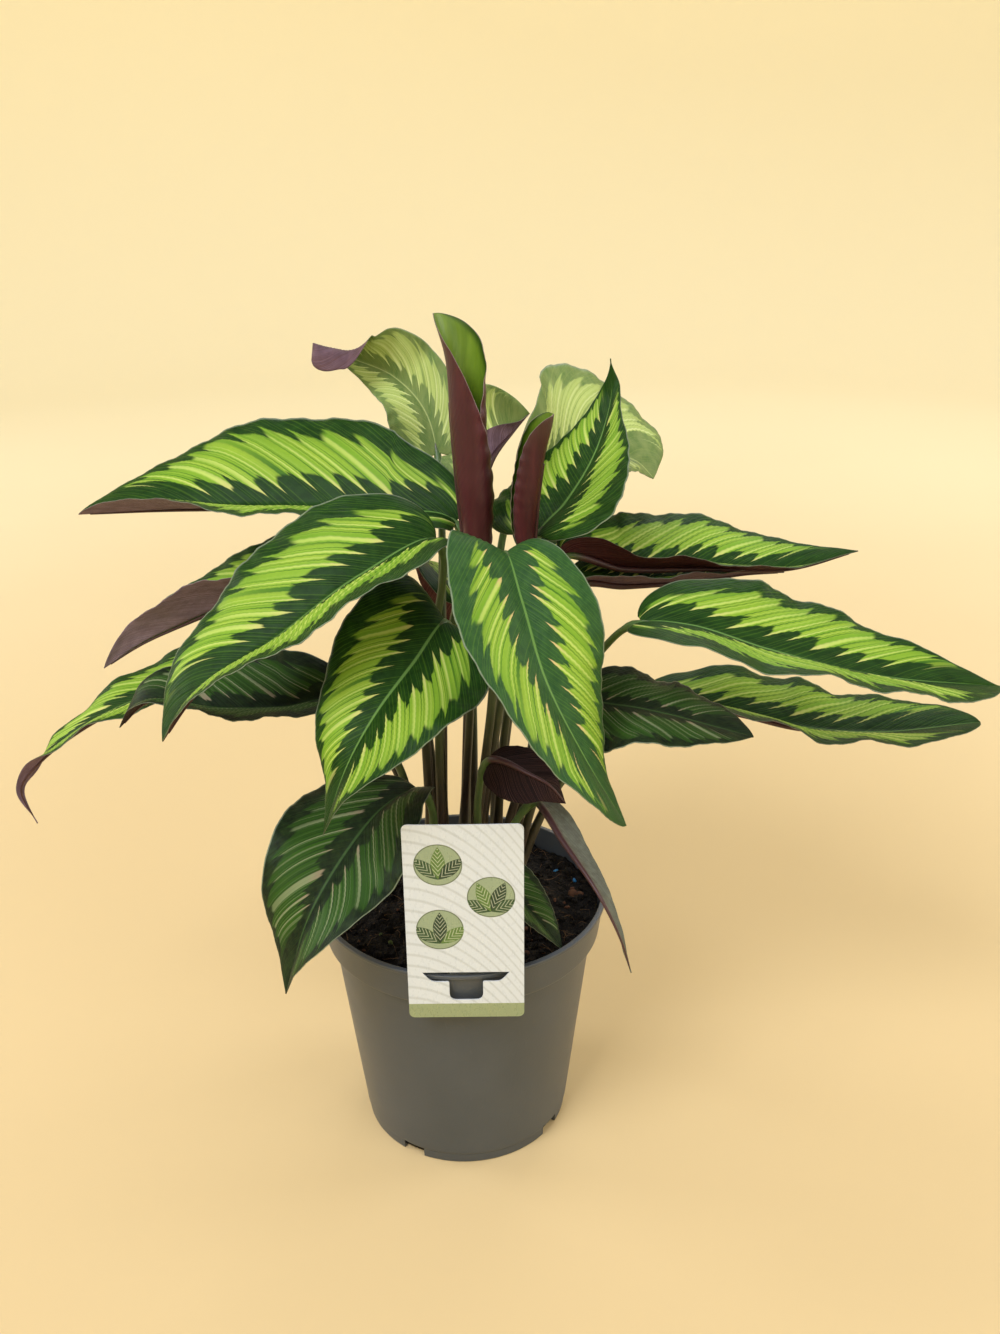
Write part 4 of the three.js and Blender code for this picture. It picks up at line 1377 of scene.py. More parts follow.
@dataclass
class NurseryPot:
    """The thin-walled pot, with its rim band, recessed foot and drainage notches.

    Attributes:
        rim_radius: Outer radius of the lip.
        height: Height of the pot.
        base_radius: Outer radius at the foot.
        foot_height: Height of the recessed foot.
        band_height: Height of the rim band.
        shoulder_radius: Outer radius under the band.
        band_radius: Outer radius of the band at its lower edge.
        lip_height: Height of the lip that stands out at the top.
        mouth_radius: Inner radius at the mouth.
        neck_radius: Inner radius at the foot of the band.
        floor_radius: Inner radius at the floor.
        floor: Thickness of the floor.
        notch_width: Width of a drainage notch.
        notch_height: Height of a drainage notch.
        notch_angles: Where the notches are, in degrees.
        sides: Faces around the pot.
    """

    rim_radius: float = 85
    height: float = 154
    base_radius: float = 62
    foot_height: float = 7
    band_height: float = 23
    shoulder_radius: float = 77
    band_radius: float = 81.4
    lip_height: float = 3
    mouth_radius: float = 82.2
    neck_radius: float = 79.8
    floor_radius: float = 60.6
    floor: float = 2
    notch_width: float = 14
    notch_height: float = 6.5
    notch_angles: tuple[float, ...] = (-120, -34, 56, 146)
    sides: int = 180

    def profile(self) -> list[FlatPoint]:
        """The wall's outline, from the foot up the outside and down the inside.

        Returns:
            Points as radius and height.
        """
        band_foot = self.height - self.band_height
        lip_foot = self.height - self.lip_height
        return rounded([
            ((0, 0), 0),
            ((self.base_radius - 0.2, 0), 1.2),
            ((self.base_radius + 0.1, self.foot_height), 0.6),
            ((self.base_radius + 0.9, self.foot_height + 0.5), 0.5),
            ((self.base_radius + 1.1, self.foot_height + 2), 0.5),
            ((self.shoulder_radius - 0.4, band_foot - 3), 1.5),
            ((self.shoulder_radius + 0.2, band_foot - 0.4), 1.4),
            ((self.band_radius - 0.2, band_foot), 1.8),
            ((self.band_radius + 0.2, band_foot + 3), 1.0),
            ((self.rim_radius - 1.3, lip_foot), 0.5),
            ((self.rim_radius, lip_foot + 0.5), 0.5),
            ((self.rim_radius + 0.05, self.height - 0.1), 0.7),
            ((self.mouth_radius - 0.1, self.height - 0.05), 0.6),
            ((self.neck_radius + 0.2, band_foot + 1.6), 1.5),
            ((self.neck_radius - 4.2, band_foot - 1.6), 1.5),
            ((self.floor_radius, self.floor), 1.5),
            ((0, self.floor), 0),
        ])

    def build(self, plastic: bpy.types.Material) -> bpy.types.Object:
        """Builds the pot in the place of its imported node.

        Args:
            plastic: Finish of the pot.

        Returns:
            The pot.
        """
        points, faces = turned(self.profile(), self.sides)
        sheet = Sheet()
        sheet.add(points, faces)
        pot = sheet.piece("moulded_pot", [plastic])
        size = (12, self.notch_width, self.notch_height + 2)
        centre = (self.base_radius, 0, self.notch_height / 2 - 1)
        cut(pot, [box_tool(size, centre, angle) for angle in self.notch_angles])
        shade_by_angle(pot)
        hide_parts("pot")
        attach(pot, BODY)
        return pot


def shade_by_angle(piece: bpy.types.Object, angle: float = 35) -> None:
    """Shades a piece smooth but for edges sharper than an angle.

    Args:
        piece: The piece.
        angle: The angle in degrees.
    """
    mesh = piece.data
    mesh.polygons.foreach_set("use_smooth", [True] * len(mesh.polygons))
    mesh.set_sharp_from_angle(angle=math.radians(angle))


def hashed(*numbers: np.ndarray) -> np.ndarray:
    """Gives an even scatter of values from 0 to 1 that is the same each time.

    Args:
        *numbers: Whole numbers that name each value.

    Returns:
        A value for each.
    """
    mixed = sum(number * factor for number, factor in zip(numbers, (127.1, 311.7, 74.7)))
    scattered = np.sin(mixed) * 43758.5453
    return scattered - np.floor(scattered)


def lumpy(points: np.ndarray, size: float, seed: float = 0.0) -> np.ndarray:
    """Smooth noise in space.

    Args:
        points: Places in millimetres, one a row.
        size: Size of a lump in millimetres.
        seed: A number of its own.

    Returns:
        A value from -1 to 1 for each place.
    """
    place = points / size + seed
    cell = np.floor(place)
    part = place - cell
    part = part * part * (3 - 2 * part)
    total = np.zeros(len(points))
    for corner in product((0, 1), repeat=3):
        weight = np.where(corner, part, 1 - part).prod(axis=1)
        total += weight * hashed(*(cell + corner).T)
    return 2 * total - 1


Chance = np.random.Generator


@dataclass
class PottingSoil:
    """The peat that fills the pot, with clods, bark, fibres and a few granules on top.

    Attributes:
        pot: The pot that it fills.
        edge_height: Height of the surface along the wall.
        rise: How much higher it is in the middle.
        gap: Space to the wall.
        reach: How far from the middle loose bits lie.
        hole_radius: Radius of the hole around a stalk.
        hole_foot: Height of the foot of the holes.
        bits: Granules and bits of their own: place, size and finish.
        clods: How many clods lie on top.
        fibres: How many fibres lie on top.
        seed: Sets the scatter.
    """

    pot: NurseryPot
    edge_height: float = 142
    rise: float = 3
    gap: float = 0.5
    reach: float = 76
    hole_radius: float = 3.4
    hole_foot: float = 110.5
    bits: tuple[tuple[float, float, float, int], ...] = (
        (57, 33, 1.7, 4),
        (68, 20, 1.5, 4),
        (70, 4, 2.2, 1),
        (62, -6, 1.6, 1),
        (66, 12, 1.3, 1),
        (-40, -40, 1.5, 3),
        (-46, -34, 1.2, 3),
        (-33, -46, 1.3, 3),
        (-55, -28, 1.2, 1),
    )
    clods: int = 900
    fibres: int = 170
    seed: int = 8

    def height(self, x: np.ndarray, y: np.ndarray) -> np.ndarray:
        """Height of the uneven surface.

        Args:
            x: Places across.
            y: Places in depth.

        Returns:
            Height of each place.
        """
        radius = np.hypot(x, y)
        flat = np.stack([x, y, np.zeros_like(x)], -1)
        dome = self.edge_height + self.rise * (1 - (radius / 80) ** 2)
        rough = 2.0 * lumpy(flat, 13) + 1.4 * lumpy(flat, 5, 4.2) + 0.9 * lumpy(flat, 2.1, 8.8)
        return dome + rough

    def level(self, x: float, y: float) -> float:
        """Height of the surface at one place."""
        return float(self.height(np.array([float(x)]), np.array([float(y)]))[0])

    def ground(self) -> tuple[np.ndarray, list[Face]]:
        """The body of the soil, with its uneven top.

        Returns:
            Points and faces.
        """
        pot = self.pot
        band_foot = pot.height - pot.band_height
        wide = pot.neck_radius + (pot.mouth_radius - pot.neck_radius) * 0.45 - self.gap
        profile = [
            (0, pot.floor + 0.4),
            (pot.floor_radius - self.gap - 0.3, pot.floor + 0.4),
            (pot.neck_radius - 4.6 - self.gap, band_foot - 1.8),
            (pot.neck_radius - self.gap, band_foot + 2.2),
            (wide, self.edge_height - 3),
        ]
        profile += [(wide * share, self.edge_height) for share in np.linspace(1, 0.012, 78)]
        profile.append((0, self.edge_height))
        sides = 250
        points, faces = turned(profile, sides)
        on_top = np.arange(len(points)) >= 4 * sides
        on_top[-2] = False
        points[on_top, 2] = self.height(points[on_top, 0], points[on_top, 1])
        return points, faces

    def clod(self, maker: Chance, size: float, centre: Point, sheet: Sheet, slot: int) -> None:
        """Adds one crumb, rough and unevenly long.

        Args:
            maker: Source of chance.
            size: Its size.
            centre: Its middle.
            sheet: Where it is added.
            slot: Material slot.
        """
        rings, around = 7, 10
        slopes = math.pi * np.arange(rings) / (rings - 1)
        ball = circles([(math.sin(slope) + 0.02, -math.cos(slope)) for slope in slopes], around)
        uneven = 1 + 0.42 * lumpy(ball, 0.8, float(maker.uniform(0, 90)))
        stretch = np.array([1.0, maker.uniform(0.5, 1.0), maker.uniform(0.35, 0.8)])
        heading, lean = maker.uniform(0, 6.28), maker.uniform(-0.5, 0.5)
        spin = np.array(Matrix.Rotation(heading, 3, "Z") @ Matrix.Rotation(lean, 3, "X"))
        points = (ball * uneven[:, None] * stretch * size) @ spin.T + centre
        sheet.add(points, tube_faces(rings, around), slot)

    def fibre(self, maker: Chance, sheet: Sheet, slot: int) -> None:
        """Adds one fibre lying on the soil.

        Args:
            maker: Source of chance.
            sheet: Where it is added.
            slot: Material slot.
        """
        length, thick = maker.uniform(4, 17), maker.uniform(0.12, 0.3)
        x, y = self.place(maker)
        heading = maker.uniform(0, 6.28)
        steps, around = 9, 5
        turn = maker.normal(0, 0.16, steps).cumsum() + heading
        xs = x + np.cumsum(np.cos(turn)) * length / steps
        ys = y + np.cumsum(np.sin(turn)) * length / steps
        reach = np.minimum(1, self.reach / np.maximum(np.hypot(xs, ys), 1))
        xs, ys = xs * reach, ys * reach
        lift = 0.3 + 1.8 * np.sin(np.linspace(0, math.pi, steps)) * maker.uniform(0.1, 1)
        line = np.stack([xs, ys, self.height(xs, ys) + lift], -1)
        angles = 2 * math.pi * np.arange(around) / around
        aside = np.stack([-np.sin(turn), np.cos(turn), np.zeros(steps)], -1)
        wide, tall = np.cos(angles)[None, :, None], np.sin(angles)[None, :, None]
        ring = wide * aside[:, None, :] + tall * np.array([0, 0, 1])
        thickness = thick * (1 - 0.6 * np.linspace(0, 1, steps))
        points = line[:, None, :] + ring * thickness[:, None, None]
        sheet.add(points.reshape(-1, 3), tube_faces(steps, around), slot)

    def place(self, maker: Chance) -> FlatPoint:
        """A place on the soil, chosen by chance."""
        radius, angle = self.reach * math.sqrt(maker.uniform(0, 1)), maker.uniform(0, 6.28)
        return radius * math.cos(angle), radius * math.sin(angle)

    def build(self, leaves: list[Leaf], finishes: list[bpy.types.Material]) -> bpy.types.Object:
        """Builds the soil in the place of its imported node.

        Args:
            leaves: The leaves that stand in it.
            finishes: Peat, bark, fibre, moss and granule finishes.

        Returns:
            The soil.
        """
        sheet = Sheet()
        sheet.add(*self.ground())
        soil = sheet.piece("peat", finishes)
        tools = []
        sides = 12
        column = circles([(self.hole_radius, self.hole_foot), (self.hole_radius, self.pot.height + 2)], sides)
        for leaf in leaves:
            hole = Sheet()
            hole.add(column + np.array([*leaf.root, 0]), tube_faces(2, sides))
            tools.append(hole.piece("tool", []))
        cut(soil, tools)
        maker = np.random.default_rng(self.seed)
        loose = Sheet()
        for _ in range(self.clods):
            x, y = self.place(maker)
            if min(math.dist((x, y), leaf.root) for leaf in leaves) < self.hole_radius + 1.2:
                continue
            size = min(3.6, 0.9 + maker.exponential(0.85))
            slot = 1 if maker.uniform() < 0.05 else 0
            self.clod(maker, size, (x, y, self.level(x, y) + 0.25 * size), loose, slot)
        for _ in range(self.fibres):
            self.fibre(maker, loose, 2)
        for x, y, size, slot in self.bits:
            self.clod(maker, size, (x, y, self.level(x, y) + 0.6 * size), loose, slot)
        crumbs = loose.piece("crumbs", finishes)
        joined = join([soil, crumbs])
        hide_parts("soil")
        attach(joined, BODY)
        return joined


def join(pieces: list[bpy.types.Object]) -> bpy.types.Object:
    """Joins pieces into the first of them.

    Args:
        pieces: The pieces.

    Returns:
        The joined piece.
    """
    with bpy.context.temp_override(active_object=pieces[0], selected_editable_objects=pieces):
        bpy.ops.object.join()
    return pieces[0]


@dataclass
class HangTag:
    """The printed card that hangs from the rim by a tongue cut out of it.

    Attributes:
        pot: The pot that it hangs on.
        width: Width of the card.
        bottom: Height of its lower edge.
        top: Height of its upper edge.
        centre: Its middle across.
        back: Depth of its back face.
        thickness: Thickness of the sheet.
        slot_width: Width of the wide part of the slot.
        slot_top: Height of the slot's upper edge.
        slot_bottom: Height of the lower edge of its wings.
        tongue_width: Width of the tongue.
        tongue_cut_bottom: Height of the foot of the tongue's opening.
        tongue_end: Height of the tongue's end behind the rim.
        corner: Rounding of the card's corners.
        cell: Size of a face.
        lean: How far its top leans to the front.
        bow: How far its sides bend back there.
    """

    pot: NurseryPot
    width: float = 62
    bottom: float = 128
    top: float = 249
    centre: float = 4
    back: float = -85.4
    thickness: float = 0.6
    slot_width: float = 47
    slot_top: float = 157.5
    slot_bottom: float = 151.5
    tongue_width: float = 18
    tongue_cut_bottom: float = 139.5
    tongue_end: float = 147.5
    corner: float = 3.2
    cell: float = 1.0
    lean: float = 1.2
    bow: float = 0.5

    def prism(self, outline: list[FlatPoint]) -> bpy.types.Object:
        """Makes a solid of this outline that reaches through the card.

        Args:
            outline: Corners as place across and height, anticlockwise from the front.

        Returns:
            The solid.
        """
        rings = [np.array([(x, y, z) for x, z in outline]) for y in (self.back + 6, self.back - 6)]
        sheet = Sheet()
        sheet.add(np.concatenate(rings), tube_faces(2, len(outline)))
        return sheet.piece("tool", [], smooth=False)

    def slab(self) -> bpy.types.Object:
        """Makes the uncut sheet as a fine grid.

        Returns:
            The sheet.
        """
        columns = round(self.width / self.cell)
        rows = round((self.top - self.bottom) / self.cell)
        xs = self.centre + np.linspace(-0.5, 0.5, columns + 1) * self.width
        zs = np.linspace(self.bottom, self.top, rows + 1)
        grid_x, grid_z = np.meshgrid(xs, zs)
        layers = [
            np.stack([grid_x.ravel(), np.full(grid_x.size, y), grid_z.ravel()], -1)
            for y in (self.back - self.thickness, self.back)
        ]
        sheet = Sheet()
        sheet.add(np.concatenate(layers), sheet_faces(rows + 1, columns + 1))
        return sheet.piece("hanging_card", [], smooth=False)

    def outline(self) -> list[FlatPoint]:
        """The card's rounded outline.

        Returns:
            Corners as place across and height.
        """
        across, up = self.width / 2 - self.corner, (self.top - self.bottom) / 2 - self.corner
        middle = (self.top + self.bottom) / 2
        points = []
        for side, end, start in ((-1, -1, 180), (1, -1, 270), (1, 1, 0), (-1, 1, 90)):
            for angle in np.radians(start + np.linspace(0, 90, 9)):
                x = self.centre + side * across + self.corner * math.cos(angle)
                points.append((x, middle + end * up + self.corner * math.sin(angle)))
        return points

    def slot(self) -> list[FlatPoint]:
        """The slot: a wide slit, and below it the opening that the tongue leaves.

        Returns:
            Corners as place across and height.
        """
        wide, narrow = self.slot_width / 2, self.tongue_width / 2
        right = rounded([
            ((0, self.tongue_cut_bottom), 0),
            ((narrow, self.tongue_cut_bottom), 5),
            ((narrow, self.slot_bottom), 1.0),
            ((wide - 5, self.slot_bottom), 2.5),
            ((wide, self.slot_top), 0.6),
            ((0, self.slot_top), 0),
        ])
        left = [(-x, z) for x, z in reversed(right[1:-1])]
        return [(self.centre + x, z) for x, z in [*right, *left]]

    def tongue(self, sheet: Sheet) -> None:
        """Adds the tongue, which runs from the slot's upper edge back over the rim and down behind it.

        Args:
            sheet: Where it is added.
        """
        y, z = self.back - self.thickness / 2, self.slot_top + self.thickness / 2
        inner = self.back + 6.4 - self.thickness / 2
        corners = [((y, z + 0.6), 0), ((y, z), 0.6), ((inner, z), 2.4), ((inner, self.tongue_end), 0)]
        line = np.array(rounded(corners, 8))
        ahead = np.gradient(line, axis=0)
        ahead /= np.linalg.norm(ahead, axis=1, keepdims=True)
        out = np.stack([-ahead[:, 1], ahead[:, 0]], -1) * self.thickness / 2
        depth = np.clip((line[:, 0] - self.back) / 2.2, 0, 1)
        narrow, wide = self.tongue_width / 2, self.slot_width / 2 - 1.5
        half = narrow + (wide - narrow) * (1 - depth) ** 0.5
        rings = []
        for point, lift, width in zip(line, out, half):
            for sign, side in ((-1, -1), (1, -1), (1, 1), (-1, 1)):
                flat = point + lift * side
                rings.append((self.centre + sign * width, flat[0], flat[1]))
        sheet.add(np.array(rings), tube_faces(len(line), 4))

    def build(self, plastic: bpy.types.Material) -> bpy.types.Object:
        """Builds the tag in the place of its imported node.

        Args:
            plastic: Finish of the card.

        Returns:
            The tag.
        """
        card = self.slab()
        cut(card, [self.prism(self.outline())], "INTERSECT")
        cut(card, [self.prism(self.slot())])
        sheet = Sheet()
        self.tongue(sheet)
        tongue = sheet.piece("tongue", [], smooth=False)
        tag = join([card, tongue])
        mesh = tag.data
        place = np.zeros(3 * len(mesh.vertices))
        mesh.vertices.foreach_get("co", place)
        place = place.reshape(-1, 3) / MILLIMETRE
        marks = {
            "card_x": place[:, 0] - self.centre,
            "card_z": place[:, 2] - self.bottom,
            "front": (place[:, 1] < self.back - 0.6 * self.thickness).astype(float),
        }
        for name, values in marks.items():
            set_mark(mesh, name, values)
        above = np.maximum(0, place[:, 2] - self.pot.height) / (self.top - self.pot.height)
        card_part = place[:, 1] < self.back + 0.1
        bow = self.lean * above**2 - self.bow * (2 * marks["card_x"] / self.width) ** 2 * above
        place[:, 1] -= np.where(card_part, bow, 0)
        mesh.vertices.foreach_set("co", (place * MILLIMETRE).ravel())
        mesh.materials.clear()
        mesh.materials.append(plastic)
        shade_by_angle(tag)
        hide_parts("hang_tag")
        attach(tag, BODY)
        return tag


@dataclass
class Studio:
    """A bowl of paper, soft lamps and the camera.

    Attributes:
        floor_radius: Where the paper starts to curve up, in metres.
        curve: How wide the curve is, in metres.
        wall: Height of the wall, in metres.
        aim: Where the lamps point, in metres.
        lens: Focal length in millimetres, for a picture 36 mm high.
        camera_place: Where the camera stands, in metres. It was fitted to the pot's rim, band and foot.
        camera_turn: Its turn about X, Y and Z in degrees.
    """

    floor_radius: float = 2.2
    curve: float = 0.8
    wall: float = 3.0
    aim: Point = (0, 0, 0.22)
    lens: float = 35.08
    camera_place: Point = (0.023837, -0.650742, 0.587711)
    camera_turn: Point = (65.8988, 0.5477, -0.2450)

    def backdrop(self, paper: bpy.types.Material) -> bpy.types.Object:
        """Builds the paper.

        Args:
            paper: Its finish.

        Returns:
            The backdrop.
        """
        sides, bends = 96, 12
        profile = [(0.02, 0), (0.6, 0), (1.4, 0), (self.floor_radius, 0)]
        for angle in math.pi / 2 * np.arange(1, bends + 1) / bends:
            across, up = math.sin(angle), 1 - math.cos(angle)
            profile.append((self.floor_radius + self.curve * across, self.curve * up))
        profile.append((self.floor_radius + self.curve, self.wall))
        sheet = Sheet()
        sheet.add(circles(profile, sides) * METRE, tube_faces(len(profile), sides)[:-1])
        backdrop = sheet.piece("paper_backdrop", [paper])
        return backdrop

    def lamp(self, name: str, place: Point, size: float, power: float, colour: str) -> None:
        """Adds a soft square lamp that points at the plant.

        Args:
            name: Name of the lamp.
            place: Where it is, in metres.
            size: Side of the lamp, in metres.
            power: Its power in watts.
            colour: Its colour.
        """
        light = bpy.data.lights.new(name, "AREA")
        light.shape = "SQUARE"
        light.size = size
        light.energy = power
        light.color = linear(colour)[:3]
        lamp = bpy.data.objects.new(name, light)
        lamp.location = place
        lamp.visible_camera = False
        toward = Vector(self.aim) - lamp.location
        lamp.rotation_euler = toward.to_track_quat("-Z", "Y").to_euler()
        bpy.context.scene.collection.objects.link(lamp)

    def lights(self) -> None:
        """Adds the lamps and an even light all around, and shows the colours unchanged."""
        self.lamp("key", (-0.9, -1.3, 2.1), 1.1, 49, "#f0f4ff")
        self.lamp("fill", (1.5, -1.2, 1.3), 1.4, 13, "#f2f6ff")
        self.lamp("back", (0.5, 1.6, 1.9), 1.2, 14, "#f4f7ff")
        self.lamp("left_edge", (-1.9, 0.5, 1.0), 0.8, 15, "#f2f5ff")
        self.lamp("right_edge", (1.9, 0.5, 1.0), 0.8, 12, "#f2f5ff")
        world = bpy.data.worlds.new("even_light")
        world.use_nodes = True
        world.node_tree.nodes.clear()
        light = add_node(world.node_tree, "Background", {"Color": "#f4f8ff", "Strength": 0.4})
        add_node(world.node_tree, "OutputWorld", {"Surface": light})
        bpy.context.scene.world = world
        bpy.context.scene.view_settings.view_transform = "Standard"

    def camera(self) -> None:
        """Places the camera where the plant is seen from the front and a little above."""
        data = bpy.data.cameras.new("camera")
        data.sensor_width = 36
        data.lens = self.lens
        data.clip_start = 0.05
        data.clip_end = 20
        camera = bpy.data.objects.new("camera", data)
        turn = Euler([math.radians(angle) for angle in self.camera_turn])
        camera.matrix_world = Matrix.LocRotScale(Vector(self.camera_place), turn, None)
        bpy.context.scene.collection.objects.link(camera)
        bpy.context.scene.camera = camera


